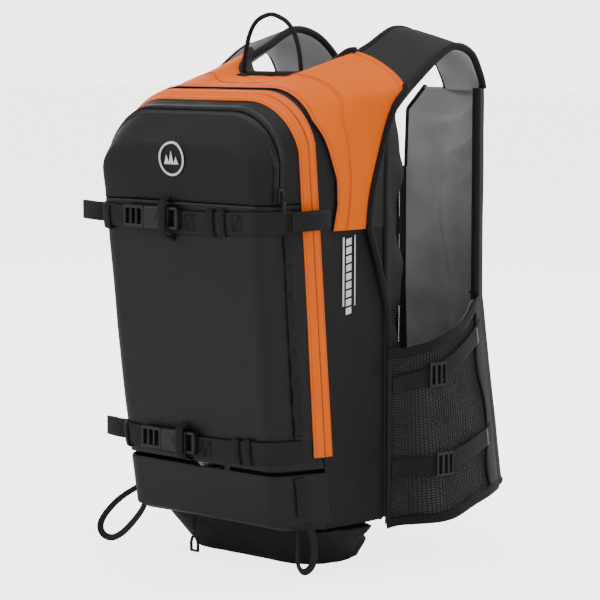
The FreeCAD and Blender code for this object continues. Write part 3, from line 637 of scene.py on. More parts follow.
def tapeLoop(side):
    look = gearLoops[side]
    line = splinePoints("gearLoop" + side, look["points"])
    length = sum((b - a).length for a, b in zip(line, line[1:]))
    count = len(line) - 1
    middle = sum(line, Vector()) / len(line)

    def place(u, v):
        i = min(int(round(v * count)), count)
        ahead = (line[min(i + 1, count)] - line[max(i - 1, 0)]).normalized()
        inward = (middle - line[i]).normalized()
        flat = ahead.cross(inward).normalized()
        turn = gearLoops["turn"] + math.sin(v * math.pi) * look["twist"] * (v - 0.5)
        flat = (Matrix.Rotation(turn, 3, ahead) @ flat).normalized()
        return line[i] + flat * (u - 0.5) * gearLoops["width"]

    bm = gridCloth(4, count, place, (gearLoops["width"], length))
    name = "gearLoop" + side.capitalize()
    piece = finishPiece(name, bm, "pack", "webbing", ("gear_loop_" + side,))
    thicken(piece, gearLoops["thick"], 0.0)
    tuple(line[0][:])
    return piece


for side in ("right", "left"):
    tapeLoop(side)
print("gear loops hung")

# ---- pack body ----

wrinkles = {"gusset": 0.0016, "front": 0.0011, "cover": 0.0010, "lining": 0.0075}


def gussetSkin():
    # side and top band from the back seam round to the main zip
    low = 0.0535

    def place(s, v):
        spot, outward = rimFrame(s, low)
        z = rimHeight(s, low)
        front = zipY(z) - 0.0005
        y = 0.0695 + (front - 0.0695) * v
        point = rimPoint(s, y, low)
        calm = smoothstep(v / 0.12) * smoothstep((1 - v) / 0.12)
        fold = (rumple(point, (9, 14, 7), wrinkles["gusset"], 2.0) + 0.4
                * rumple(point, (30, 44, 18), wrinkles["gusset"], 5.0))
        return point + outward * (fold * calm + 0.0004)

    bm = gridCloth(220, 40, place, (rimLength(low), 0.11))
    faceOut(bm, packMiddle)
    piece = finishPiece("gussetSkin", bm, "pack", "gusset", ("main_gusset",))
    return thicken(piece, 0.0012)


def gussetShelf():
    # low front apron under the fold, with the bottom of the pack behind it
    def place(u, v):
        x = (u - 0.5) * 2
        if v < 0.62:
            z = 0.1188 - (0.1188 - 0.060) * v / 0.62
            half = steps(pack["halfFront"], z)
            reach = half - pack["edgeRadius"] + pack["edgeRadius"] * math.pi / 2
            beyond = zipY(z) - (steps(pack["faceY"], z) + pack["edgeRadius"]) + 0.004
            point = wrapPoint(x * (reach + beyond), z, 0.0005)
            fold = rumple(point, (8, 8, 16), wrinkles["front"], 9.0)
            return point + Vector((0, -1, 0)) * max(fold, -0.0005) * (1 - abs(x))
        t = (v - 0.62) / 0.38
        z = 0.060
        half = steps(pack["halfFront"], z)
        reach = half - pack["edgeRadius"] + pack["edgeRadius"] * math.pi / 2
        beyond = zipY(z) - (steps(pack["faceY"], z) + pack["edgeRadius"]) + 0.004
        edge = wrapPoint(x * (reach + beyond), z, 0.0005)
        sag = 0.009 * math.sin(min(1.0, t * 1.6) * math.pi / 2)
        back = Vector((edge.x * (1 - 0.1 * t), edge.y + 0.05 * t * (1 - abs(x) ** 4), z - sag))
        return back

    bm = gridCloth(110, 46, place, (0.34, 0.12))
    faceOut(bm, packMiddle)
    piece = finishPiece("frontApron", bm, "pack", "coated")
    return thicken(piece, 0.0012)


def backWall():
    def place(u, v):
        z = 0.052 + v * 0.484
        half = (0.147 if z < 0.47 else 0.147 - 0.066
                * (1 - math.sqrt(max(0.0, 1 - ((z - 0.47) / 0.068) ** 2))))
        x = (u - 0.5) * 2 * half
        return Vector((x, 0.0692, z))

    bm = gridCloth(30, 60, place, (0.3, 0.48))
    faceOut(bm, packMiddle)
    piece = finishPiece("backWall", bm, "pack", "gusset")
    return thicken(piece, 0.0012)


def panelReach(z):
    # cloth distance from the middle of the front to the main zip at a height
    r = pack["edgeRadius"]
    return (steps(pack["halfFront"], z) - r + r * math.pi / 2 + zipY(z) - 0.0012
            - (steps(pack["faceY"], z) + r))


def frontPanelLow():
    # smooth coated front from the fold up to the pocket, wrapped round both edges to the zip
    low, high = pack["foldZ"] + 0.0036, pack["flapZ"] - 0.0006

    def place(u, v):
        z = low + (high - low) * v
        x = (u - 0.5) * 2
        point = wrapPoint(x * panelReach(z), z, 0.0004)
        calm = smoothstep(v / 0.06) * smoothstep((1 - v) / 0.04)
        fold = rumple(point, (7, 7, 5), wrinkles["front"], 3.0) * calm
        pull = (0.0018 * math.exp(-((z - 0.405) / 0.02) ** 2) + 0.0018
                * math.exp(-((z - 0.146) / 0.022) ** 2))
        outward = (point - Vector((0, -0.02, z))).normalized()
        return point + outward * (max(fold, -0.0012) - pull * 0.6 * calm)

    bm = gridCloth(130, 90, place, (2 * panelReach(0.3), high - low))
    faceOut(bm, packMiddle)
    piece = finishPiece("frontPanel", bm, "front_panel", "coated", ("front_shell",))
    return thicken(piece, 0.0012)


def frontPanelRing():
    # softshell band between the pocket zip and the main zip
    low = pack["flapZ"] + 0.0002

    def place(s, v):
        spot, outward = rimFrame(s, low)
        z = rimHeight(s, low)
        back = zipY(z) - 0.0012
        y = pack["coverY"] + 0.0004 + (back - pack["coverY"]) * v
        point = rimPoint(s, y, low)
        fold = rumple(point, (12, 16, 9), wrinkles["cover"], 4.0) * math.sin(math.pi * v)
        return point + outward * (0.0004 + fold)

    bm = gridCloth(150, 18, place, (rimLength(low), 0.045))
    faceOut(bm, packMiddle)
    piece = finishPiece("frontPanelRing", bm, "front_panel", "softshell")
    return thicken(piece, 0.0012)


def pocketCover():
    # crowned softshell flap over the upper pocket
    low = pack["flapZ"] + 0.0008
    r = pack["edgeRadius"]
    corner = pack["crownRadius"] - r
    coreTop = pack["faceTop"] - r - corner

    def edgeReach(z):
        depth = pack["coverY"] - 0.0008 - (steps(pack["faceY"], z) + r)
        return corner + r * math.pi / 2 + depth

    def place(u, v):
        t = math.sin(v * math.pi / 2)
        total = coreTop + edgeReach(0.5) - 0.002
        z = low + (total - low) * t
        reach = edgeReach(min(z, coreTop))
        over = max(0.0, z - coreTop)
        wide = math.sqrt(max(0.0, reach * reach - over * over))
        x = (u - 0.5) * 2 * (steps(pack["halfFront"], z) - r - corner + wide)
        point = wrapPoint(x, z, 0.0006)
        edge = min(1.0, (1 - abs(2 * u - 1)) * 6) * min(1.0, (1 - v) * 5) * min(1.0, v * 6 + 0.1)
        fold = rumple(point, (8, 8, 12), wrinkles["cover"], 8.0) * edge
        return point + Vector((0, -1, 0)) * (max(fold, -0.001) + 0.0020 * edge)

    bm = gridCloth(110, 60, place, (0.34, 0.13))
    inner = [vert for vert in bm.verts if not vert.is_boundary]
    for turn in range(14):
        bmesh.ops.smooth_vert(bm, verts=inner, factor=0.5, use_axis_x=True, use_axis_y=True,
                              use_axis_z=True)
    faceOut(bm, packMiddle)
    surface = BVHTree.FromBMesh(bm)
    thicken(finishPiece("pocketCover", bm, "pocket_cover", "softshell",
                        ("pocket_cover",)), 0.0012)
    return surface


def pocketLining():
    def place(u, v):
        z = 0.126 + v * 0.40
        x = (u - 0.5) * 2 * (steps([(0.126, 0.128), (0.47, 0.130), (0.50, 0.118), (0.53, 0.085)],
                                   z))
        y = zipY(z) - 0.0035 + rumple(Vector((x, 0, z)), (9, 1, 7), 0.0028, 12.0)
        return Vector((x, min(y, zipY(z) - 0.0014), z))

    bm = gridCloth(60, 90, place, (0.26, 0.40))
    piece = finishPiece("pocketLining", bm, "front_panel", "lining",
                        ("front_liner",))
    return thicken(piece, 0.0008, 0.0)


gussetSkin()
gussetShelf()
backWall()
frontPanelLow()
frontPanelRing()
coverSurface = pocketCover()
pocketLining()
print("pack body")

# ---- zips ----

zips = {"low": 0.137, "width": 0.0104, "lip": 0.0017, "lift": 0.0006}


def zipTape(name, body, moving, node):
    # one half of the main zip: a flat coated tape that rises to a soft lip over the teeth
    low = zips["low"]

    def place(s, v):
        spot, outward = rimFrame(s, low)
        z = rimHeight(s, low)
        near = zipY(z) - (0.0009 if moving else -0.0001)
        far = near + (-zips["width"] - 0.0022 if moving else zips["width"])
        y = near + (far - near) * v
        lip = zips["lip"] * math.exp(-((v - 0.16) / 0.16) ** 2) * (1 if v > 0.08 else v / 0.08)
        return rimPoint(s, y, low, zips["lift"] + 0.0010 + lip)

    bm = gridCloth(260, 12, place, (rimLength(low), zips["width"]))
    faceOut(bm, packMiddle)
    piece = finishPiece(name, bm, body, "orangeTape", (node,))
    return thicken(piece, 0.0014)


zipTape("mainZipPackTape", "pack", False, "orange_zip_outer")
zipTape("mainZipPanelTape", "front_panel", True, "orange_zip_inner")


def zipCoil():
    low = zips["low"]
    line = [rimPoint(i / 300, zipY(rimHeight(i / 300, low)) - 0.0004, low, 0.0012)
            for i in range(301)]
    return pipe("mainZipCoil", line, 0.0009, "pack", "darkOrange")


mats["darkOrange"] = clothMaterial("darkOrange", dict(
    dark=(0.34, 0.03, 0.001), light=(0.50, 0.055, 0.002), rough=0.5, roughSpread=0.1, pitch=0.0011,
    cross=0.0, thread=0.0002, threadShade=0.6, patches=16, crumple=0.0001, sheen=0.0, specular=0.4))
zipCoil()


def pocketTape(name, body, near, far, node):
    low = pack["flapZ"] + 0.003

    def place(s, v):
        y = near + (far - near) * v
        lip = 0.0016 * math.exp(-((v - 0.22) / 0.18) ** 2)
        return rimPoint(s, y, low, 0.0012 + lip)

    bm = gridCloth(200, 10, place, (rimLength(low), abs(far - near)))
    faceOut(bm, packMiddle)
    piece = finishPiece(name, bm, body, "blackTape", (node,))
    return thicken(piece, 0.0012)


pocketTape("pocketZipPanelTape", "front_panel", pack["coverY"] + 0.0005, pack["coverY"] + 0.0072,
           "pocket_zip_outer")
pocketTape("pocketZipCoverTape", "pocket_cover", pack["coverY"] - 0.0012, pack["coverY"] - 0.0078,
           "pocket_zip_inner")
print("zips")

# ---- orange yoke ----

yoke = {
    "front": [(0.392, -0.014), (0.421, -0.008), (0.449, -0.009), (0.483, -0.022), (0.520, -0.038),
              (0.620, -0.038)],
    "back": [(0.0, (0.1515, 0.038, 0.392)), (0.15, (0.1525, 0.042, 0.430)),
             (0.30, (0.154, 0.054, 0.472)), (0.42, (0.156, 0.066, 0.508)),
             (0.50, (0.159, 0.078, 0.533)), (0.56, (0.160, 0.094, 0.550)),
             (0.72, (0.118, 0.103, 0.578)), (0.80, (0.080, 0.095, 0.591)),
             (0.86, (0.068, 0.070, 0.575)), (0.92, (0.050, 0.052, 0.5645)),
             (1.0, (0.0, 0.045, 0.5615))],
    "low": 0.392,
    "lift": 0.0026,
}
saddleBase = surfaceOf("main_gusset", "shoulder_strap_right", "shoulder_strap_left")


def tablePoint(table, at):
    # smooth curve through the points of a rising table
    keys = [key for key, spot in table]
    spots = [Vector(spot) for key, spot in table]
    i = max(0, min(len(keys) - 2, sum(1 for key in keys if key <= at) - 1))
    gap = keys[i + 1] - keys[i]
    t = (at - keys[i]) / gap
    before, after = max(i - 1, 0), min(i + 2, len(keys) - 1)
    leave = (spots[i + 1] - spots[before]) * (gap / (keys[i + 1] - keys[before]))
    arrive = (spots[after] - spots[i]) * (gap / (keys[after] - keys[i]))
    return (spots[i] * (2 * t ** 3 - 3 * t ** 2 + 1) + leave * (t ** 3 - 2 * t ** 2 + t)
            + spots[i + 1] * (3 * t ** 2 - 2 * t ** 3) + arrive * (t ** 3 - t ** 2))


def raised(point, outward, lift):
    # the point itself, or the surface under it raised by lift where the point is lower than that
    hit = saddleBase.ray_cast(point + outward * 0.12, -outward, 0.16)
    if hit[0] is None:
        return point
    short = (hit[0] - point).dot(outward) + lift
    return point + outward * max(0.0, short)


def yokePoint(side, s, v):
    # s runs from the bottom of the yoke's side up to the middle of the neck, v from its front
    # edge to its back edge
    spot, outward = rimFrame(s / 2, yoke["low"])
    front = rimPoint(s / 2, steps(yoke["front"], rimHeight(s / 2, yoke["low"])), yoke["low"],
                     yoke["lift"])
    back = tablePoint(yoke["back"], s)
    back.x = -back.x
    point = raised(front.lerp(back, v), outward, yoke["lift"])
    return Vector((-side * point.x, point.y, point.z)), Vector((-side * outward.x, outward.y,
            outward.z))


def yokeSkin():
    # one orange cloth that saddles from the pack's sides and top onto the roots of both shoulder
    # straps
    def place(u, v):
        side = -1 if u < 0.5 else 1
        s = 1 - abs(2 * u - 1)
        point, outward = yokePoint(side, s, v)
        edge = smoothstep(v / 0.08) * smoothstep((1 - v) / 0.08)
        return point + outward * rumple(point, (10, 12, 8), 0.0014, 7.0) * edge

    bm = gridCloth(240, 44, place, (rimLength(yoke["low"]), 0.11))
    inner = [vert for vert in bm.verts if not vert.is_boundary]
    for turn in range(6):
        bmesh.ops.smooth_vert(bm, verts=inner, factor=0.5, use_axis_x=True, use_axis_y=True,
                              use_axis_z=True)
    faceOut(bm, packMiddle)
    piece = finishPiece("yokeCloth", bm, "pack", "orangeCloth", ("yoke",))
    return thicken(piece, 0.0012)


def yokeBackFacing():
    # black cloth that closes the yoke behind, from its back edge down to the pack's back seam
    def place(u, v):
        side = -1 if u < 0.5 else 1
        s = 1 - abs(2 * u - 1)
        edge = yokePoint(side, s, 1.0)[0]
        seam = rimPoint(s / 2, 0.0688, yoke["low"], 0.0006)
        seam.x = -side * seam.x
        return edge.lerp(seam, 0.02 + 0.98 * v)

    bm = gridCloth(200, 6, place, (rimLength(yoke["low"]), 0.03))
    faceOut(bm, Vector((0, -0.1, 0.5)))
    return thicken(finishPiece("yokeBackFacing", bm, "pack", "gusset"), 0.0010, 0.0)


def yokeEdge(side, start, end, lift=0.0008, count=70):
    line = []
    for i in range(count + 1):
        point, outward = yokePoint(side, start + (end - start) * i / count, 1.0)
        line.append(point + outward * lift)
    return line


def yokeBindings():
    for side in (1, -1):
        down = [Vector((side * x, y, z)) for x, y,
                z in ((0.1525, 0.074, 0.255), (0.1525, 0.070, 0.300), (0.1525, 0.055, 0.350))]
        pipe("armholeEdge" + ("Right" if side > 0 else "Left"), down + yokeEdge(side, 0.0, 0.57),
             0.0042, "pack", "binding")
    neck = yokeEdge(-1, 0.79, 1.0) + list(reversed(yokeEdge(1, 0.79, 0.997)))
    pipe("neckBinding", neck, 0.0046, "pack", "binding")


yokeSkin()
yokeBackFacing()
yokeBindings()
print("yoke")

# ---- edge bindings and seams on the body ----


def sectionLine(table, low, lift=0.003, count=110):
    # a run along the rim path that follows a depth table
    line = []
    for i in range(count + 1):
        s = i / count
        line.append(rimPoint(s, steps(table, rimHeight(s, low)), low, lift))
    return line


pipe("backSeamPiping", sectionLine([(0.0, 0.0685)], 0.056, 0.0008), 0.0022, "pack", "binding")
pipe("yokeFrontPiping", sectionLine([(z, y - 0.0005) for z, y in yoke["front"]], yoke["low"],
                                    0.0022), 0.0008,
     "pack", "binding")


def yokeStitching():
    runs = []
    for share in (0.05, 0.36, 0.385, 0.95):
        for side in (1, -1):
            runs.append(runOf(lambda s, share=share, side=side: (
                yokePoint(side, 0.01 + 0.98 * s, share)[0] + yokePoint(side, 0.01 + 0.98 * s,
                        share)[1] * 0.0004,
                yokePoint(side, 0.01 + 0.98 * s, share)[1]), 90))
    stitches("yokeStitching", runs, "pack", "orangeThread", 0.0036, 0.0007, 0.0)


mats["orangeThread"] = mouldedMaterial("orangeThread", dict(
    dark=(0.62, 0.065, 0.002), light=(0.85, 0.11, 0.004), rough=0.6, metallic=0.0, patches=80,
    grain=0.00002))
yokeStitching()


def zipStitching():
    def row(offset, moving):
        def spot(s):
            z = rimHeight(s, zips["low"])
            outward = rimFrame(s, zips["low"])[1]
            y = zipY(z) + (-offset if moving else offset)
            return rimPoint(s, y, zips["low"], 0.0020), outward
        return runOf(spot, 150)
    stitches("packTapeStitching", [row(0.0088, False)], "pack", "orangeThread", 0.0034, 0.0006, 0.0)
    stitches("panelTapeStitching", [row(0.0108, True)], "front_panel", "orangeThread", 0.0034,
             0.0006, 0.0)


zipStitching()


# ---- daisy chains down the sides of the front panel ----

mats["paleThread"] = mouldedMaterial("paleThread", dict(
    dark=(0.30, 0.30, 0.30), light=(0.5, 0.5, 0.5), rough=0.6, metallic=0.0, patches=80,
    grain=0.00002))

chain = {"gap": 0.024, "width": 0.0125, "low": 0.162, "high": 0.389, "tacks": 7, "loop": 0.0024}


def chainPoint(side, across, z, lift):
    target = Vector((side * 0.10, steps(pack["faceY"], z) + chain["gap"] + across * chain["width"],
                     z))
    return castOn(packShell, target, Vector((side, 0, 0)), lift)


def daisyChain(side):
    def place(u, v):
        z = chain["low"] + (chain["high"] - chain["low"]) * v
        slack = (chain["loop"] * abs(math.sin(math.pi * v * chain["tacks"])) ** 0.7
                 * (0.75 + 0.25 * math.sin(v * 37)))
        return chainPoint(side, u, z, 0.0016 + slack)

    bm = gridCloth(4, 140, place, (chain["width"], chain["high"] - chain["low"]))
    faceOut(bm, packMiddle)
    return bm


def joined(parts):
    bm = bmesh.new()
    for part in parts:
        mesh = bpy.data.meshes.new("joining")
        part.to_mesh(mesh)
        part.free()
        bm.from_mesh(mesh)
        bpy.data.meshes.remove(mesh)
    return bm


thicken(finishPiece("daisyChains", joined([daisyChain(1), daisyChain(-1)]), "front_panel",
                    "webbing", ("daisy_chains",)), 0.0012)


def chainTacks():
    runs = []
    for side in (1, -1):
        for i in range(chain["tacks"] + 1):
            z = chain["low"] + (chain["high"] - chain["low"]) * i / chain["tacks"]
            for dz in (-0.0012, 0.0, 0.0012):
                runs.append(runOf(lambda t, side=side, z=z + dz: (
                    chainPoint(side, 0.12 + 0.76 * t, z, 0.0024), Vector((side, 0, 0))), 6))
    stitches("chainBarTacks", runs, "front_panel", "sheath", 0.0014, 0.0007, 0.0003)


def lowerChain(side):
    # the chain carries on below the front panel, down to the gear loop
    def place(u, v):
        z = 0.070 + 0.046 * v
        target = Vector((side * 0.10, steps(pack["faceY"],
                                            z) + chain["gap"] - 0.004 + u * chain["width"], z))
        return castOn(packShell, target, Vector((side, 0, 0)),
                      0.0026 + 0.0014 * math.sin(math.pi * v))

    bm = gridCloth(4, 30, place, (chain["width"], 0.046))
    faceOut(bm, packMiddle)
    return bm


thicken(finishPiece("lowerChains", joined([lowerChain(1), lowerChain(-1)]), "pack", "webbing"), 0.0012)
chainTacks()

# ---- front compression straps ----

frontStraps = {
    "upper": dict(z=0.405, sag=-0.004, reach=0.150),
    "lower": dict(z=0.146, sag=-0.005, reach=0.140),
    "width": 0.025,
    "thick": 0.0017,
}


def frontStrap(name):
    look = frontStraps[name]

    def place(u, v):
        x = (v - 0.5) * 2 * look["reach"]
        sag = look["sag"] * (1 - (x / 0.11) ** 2) if abs(x) < 0.11 else 0.0
        z = look["z"] + sag + (u - 0.5) * frontStraps["width"]
        curl = 0.0006 * (2 * abs(u - 0.5)) ** 3
        return wrapPoint(x, z, 0.0022 - curl)

    bm = gridCloth(8, 150, place, (frontStraps["width"], 2 * look["reach"]))
    faceOut(bm, packMiddle)
    piece = finishPiece(name + "StrapWebbing", bm, "front_panel", "webbing",
                        (name + "_strap",))
    return thicken(piece, frontStraps["thick"], 1.0)


frontStrap("upper")
frontStrap("lower")


def strapTails():
    # loose ends: folded over beside the left corner, and looped back along the right side
    routes = []
    for name in ("upper", "lower"):
        z = frontStraps[name]["z"]
        half, y = steps(pack["halfFront"], z), steps(pack["faceY"], z)
        routes.append((z, [(-half - 0.0015, y + 0.012), (-half - 0.013, y + 0.006),
                           (-half - 0.026, y + 0.005), (-half - 0.040, y + 0.008),
                           (-half - 0.0425, y + 0.011), (-half - 0.036, y + 0.0125),
                           (-half - 0.021, y + 0.012), (-half - 0.010, y + 0.018)]))
    z = frontStraps["upper"]["z"]
    wall = [castOn(packShell, Vector((0.08, y, z)), Vector((1, 0, 0)), 0.0).x for y in (-0.080,
            -0.056, -0.030, -0.029)]
    routes.append((z, [(wall[0] + 0.0045, -0.080), (wall[1] + 0.0050, -0.056),
                       (wall[2] + 0.0056, -0.033), (wall[3] + 0.0090, -0.0275),
                       (wall[2] + 0.0122, -0.033), (wall[1] + 0.0130, -0.056),
                       (wall[0] + 0.0080, -0.078)]))
    parts = []
    for z, route in routes:
        points = [Vector((a, b, 0)) for a, b in route]

        def place(u, v, points=points, z=z):
            spot = curvePoint(points, v)
            return Vector((spot.x, spot.y, z + (u - 0.5) * 0.0215 + 0.002 * math.sin(v * math.pi)))

        parts.append(gridCloth(6, 70, place, (0.0215, 0.10)))
    piece = finishPiece("strapTails", joined(parts), "front_panel", "webbing",
                        ("strap_tails",))
    return thicken(piece, 0.0015, 0.0)


strapTails()


def keeperBand(x, z, wide=0.010):
    # elastic loop round the doubled webbing
    def place(u, v):
        angle = v * 2 * math.pi
        dz = 0.0142 * math.sin(angle)
        out = 0.0030 + 0.0026 * max(0.0, math.cos(angle)) ** 0.5 if math.cos(angle) > 0 else 0.0020
        return wrapPoint(x + (u - 0.5) * wide, z + dz, out)

    bm = gridCloth(4, 40, place, (wide, 0.06))
    bmesh.ops.remove_doubles(bm, verts=bm.verts, dist=0.00005)
    return bm


keepers = [(-0.112, 0.402), (0.050, 0.402), (0.067, 0.403), (0.064, 0.143), (0.081, 0.144),
           (-0.1098, 0.143)]
thicken(finishPiece("strapKeepers", joined([keeperBand(x, z) for x, z in keepers]), "front_panel",
                    "binding",
                    ("strap_keepers",)), 0.0011, 0.0)


def stitchedBox(x, z, wide, high, lift, count=8):
    # a sewn box with one diagonal across it
    def place(atX, atZ):
        return wrapPoint(atX, atZ, lift), Vector((0, -1, 0))

    corners = [(x - wide, z - high), (x + wide, z - high), (x + wide, z + high),
               (x - wide, z + high), (x - wide, z - high)]
    run = []
    for (xa, za), (xb, zb) in zip(corners, corners[1:]):
        for t in (i / count for i in range(count)):
            run.append(place(xa + (xb - xa) * t, za + (zb - za) * t))
    run.append(run[0])
    cross = [place(x - wide + 2 * wide * i / count, z - high + 2 * high * i / count)
             for i in range(count + 1)]
    return [run, cross]


boxTacks = {"wide": 0.006, "high": 0.009, "lift": 0.0044,
            "places": ((0.089, 0.404), (0.018, 0.402), (0.018, 0.142))}
stitches("strapStitching",
         sum((stitchedBox(x, z, boxTacks["wide"], boxTacks["high"], boxTacks["lift"])
              for x, z in boxTacks["places"]), []),
         "front_panel", "binding", 0.0022, 0.0007)

# ---- side-release buckles ----

buckle = {"height": 0.0125}


def blockOf(bm, low, high):
    size = [b - a for a, b in zip(low, high)]
    middle = [(a + b) / 2 for a, b in zip(low, high)]
    matrix = Matrix.Translation(middle) @ Matrix.Diagonal((*size, 1.0))
    return bmesh.ops.create_cube(bm, size=1.0, matrix=matrix)["verts"]


def bevelAll(bm, offset, segments=2):
    edges = [edge for edge in bm.edges if edge.is_manifold and edge.calc_face_angle(0) > 0.6]
    bmesh.ops.bevel(bm, geom=edges, offset=offset, segments=segments, profile=0.5, affect="EDGES",
                    material=-1, clamp_overlap=True)


def buckleFront(name):
    low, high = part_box(name)
    return Vector(low), Vector(high)


def receiverPiece():
    # the two female halves: a rounded shell with a side window and a webbing bar
    bm = bmesh.new()
    for z, name in ((0.405, "upper"), (0.146, "lower")):
        tongueLow, tongueHigh = buckleFront(name + "_tongue")
        y0, y1 = tongueLow.y - 0.001, tongueHigh.y + 0.001
        w = buckle["height"]
        for sign in (-1, 1):
            blockOf(bm, (-0.0475, y0 + 0.0006, z + (w - 0.0032 if sign > 0 else -w)),
                    (0.0040, y1, z + (w if sign > 0 else -w + 0.0032)))
            blockOf(bm, (-0.0475, y0 if sign < 0 else y1 - 0.0019, z - w + 0.001),
                    (-0.018, y0 + 0.0019 if sign < 0 else y1, z + w - 0.001))
        blockOf(bm, (-0.020, y0, z - w), (-0.0095, y1, z + w))
        blockOf(bm, (-0.001, y0 + 0.0015, z - w), (0.004, y1 - 0.001, z + w))
        blockOf(bm, (-0.044, y0 - 0.0006, z - 0.0045), (-0.028, y0 + 0.0012, z + 0.0045))
    bevelAll(bm, 0.0009)
    return finishPiece("frontReceivers", bm, "front_panel", "acetal",
                       ("front_receivers",), smooth=False)


def tonguePiece(name, z):
    # male half: ladder-lock yard with two slots, two prongs and a guide
    low, high = buckleFront(name + "_tongue")
    w = buckle["height"]
    bm = bmesh.new()
    for sign in (-1, 1):
        edge = z + sign * (w - 0.0018)
        blockOf(bm, (-0.081, low.y, edge - 0.0018), (-0.049, high.y, edge + 0.0018))
        blockOf(bm, (-0.050, low.y + 0.0015, z + sign * 0.0062 - 0.0016),
                (-0.031, high.y - 0.0015, z + sign * 0.0062 + 0.0016))
    for x, wide in ((-0.081, 0.0032), (-0.0715, 0.0030), (-0.0625, 0.0030), (-0.0535, 0.0045)):
        blockOf(bm, (x, low.y + 0.0006, z - w + 0.002), (x + wide, high.y - 0.0006, z + w - 0.002))
    blockOf(bm, (-0.050, low.y + 0.002, z - 0.002), (-0.033, high.y - 0.002, z + 0.002))
    bevelAll(bm, 0.0008)
    return finishPiece(name + "Tongue", bm, name + "_tongue", "acetal",
                       (name + "_tongue",), smooth=False)


receiverPiece()
tonguePiece("upper", 0.405)
tonguePiece("lower", 0.146)


def poleLoops():
    # elastic strips over the buckles that hold a shaft
    parts = []
    for z, name in ((0.405, "upper"), (0.146, "lower")):
        low, high = buckleFront(name + "_tongue")
        front = low.y - 0.0028

        def place(u, v, z=z, front=front):
            span = 0.026 if z > 0.2 else 0.0225
            t = (v - 0.5) * 2
            bow = front - 0.0012 * math.cos(t * math.pi / 2)
            dz = t * span
            face = steps(pack["faceY"], z + dz) - 0.0016
            blend = smoothstep((abs(t) - 0.66) / 0.34)
            return Vector((-0.016 + (u - 0.5) * 0.0115, bow * (1 - blend) + face * blend, z + dz))

        parts.append(gridCloth(4, 40, place, (0.0115, 0.05)))
    piece = finishPiece("poleLoops", joined(parts), "front_panel", "binding",
                        ("pole_loops",))
    return thicken(piece, 0.0013, 0.0)


poleLoops()
print("front straps and buckles")

# ---- shoulder straps ----

strapShape = {
    "inner": [(0.0703, 0.576), (0.090, 0.586), (0.125, 0.600), (0.172, 0.620), (0.215, 0.614),
              (0.250, 0.592), (0.273, 0.563), (0.280, 0.548)],
    "outer": [(0.0703, 0.530), (0.086, 0.543), (0.111, 0.561), (0.160, 0.592), (0.190, 0.601),
              (0.222, 0.591), (0.241, 0.564), (0.247, 0.548)],
    "innerX": 0.080, "outerX": 0.158, "thick": 0.0116,
}


def strapFrame(t, share):
    # top point and downward way of the shoulder strap, t along it and share across it
    inner = [Vector((0, y, z)) for y, z in strapShape["inner"]]
    outer = [Vector((0, y, z)) for y, z in strapShape["outer"]]
    at = curvePoint(inner, t).lerp(curvePoint(outer, t), share)
    ahead = (curvePoint(inner, min(t + 0.02, 1)).lerp(curvePoint(outer, min(t + 0.02, 1)), share)
             - curvePoint(inner, max(t - 0.02, 0)).lerp(curvePoint(outer, max(t - 0.02, 0)),
                                                        share)).normalized()
    down = Vector((0, ahead.z, -ahead.y))
    x = strapShape["innerX"] + (strapShape["outerX"] - strapShape["innerX"]) * share
    return Vector((x, at.y, at.z)), down


def shoulderStrap(side):
    name = sideName(side)
    rounds = 32

    def place(u, v):
        a = u * 2 * math.pi
        c, s = math.cos(a), math.sin(a)
        across = 0.5 + 0.5 * math.copysign(abs(c) ** 0.35, c)
        through = 0.5 - 0.5 * math.copysign(abs(s) ** 0.62, s)
        top, down = strapFrame(v, across)
        crown = 0.0012 * math.sin(math.pi * across)
        puff = rumple(top, (16, 16, 12), 0.0009, 3.0 + side)
        point = (top + down * (through * strapShape["thick"] - crown * (1 - 2 * through)) - down
                 * puff * (1 - through))
        return mirrored(side, point)

    bm = gridCloth(rounds, 72, place, (0.17, 0.30))
    bmesh.ops.remove_doubles(bm, verts=bm.verts, dist=0.00005)
    bmesh.ops.holes_fill(bm, edges=[edge for edge in bm.edges if edge.is_boundary], sides=0)
    bmesh.ops.recalc_face_normals(bm, faces=bm.faces)
    piece = finishPiece("shoulderStrap" + name.capitalize(), bm, "pack",
                        ("softshell", "orangeCloth", "lining"),
                        ("shoulder_strap_" + name,))
    for face in piece.data.polygons:
        if face.normal.z < -0.25 and face.center.y > 0.10:
            face.material_index = 2
    for label, share in (("Inner", -0.01), ("Outer", 1.01)):
        line = []
        for i in range(81):
            top, down = strapFrame(i / 80, share)
            spot = top + down * 0.004
            line.append(mirrored(side, spot))
        pipe("strapBinding" + label + name.capitalize(), line, 0.0046, "pack", "binding")
    return piece


for side in (1, -1):
    shoulderStrap(side)
print("shoulder straps")

# ---- vest chest panels ----

vest = {
    "plan": [(0.166, 0.226), (0.159, 0.246), (0.140, 0.264), (0.095, 0.278), (0.0132, 0.286)],
    "hem": 0.0725, "armhole": 0.300, "join": 0.547, "flare": 0.024,
    "thick": 0.0056,
}


def flareAt(z):
    return vest["flare"] * max(0.0, vest["armhole"] - z) / (vest["armhole"] - 0.072)


def chestPoint(share, z, depth=0.0):
    # share 0 at the armhole edge, 1 at the centre zip; depth goes in towards the wearer
    flare = flareAt(z)
    points = [Vector((x + flare * (x > 0.1), y + 0.4 * flare, 0)) for x, y in vest["plan"]]
    spot = curvePoint(points, share)
    ahead = (curvePoint(points, min(share + 0.02, 1)) - curvePoint(points,
            max(share - 0.02, 0))).normalized()
    inward = Vector((-ahead.y, ahead.x, 0))
    if inward.dot(Vector((0, 0.1, 0)) - spot) < 0:
        inward = -inward
    return Vector((spot.x, spot.y, z)) + inward * depth


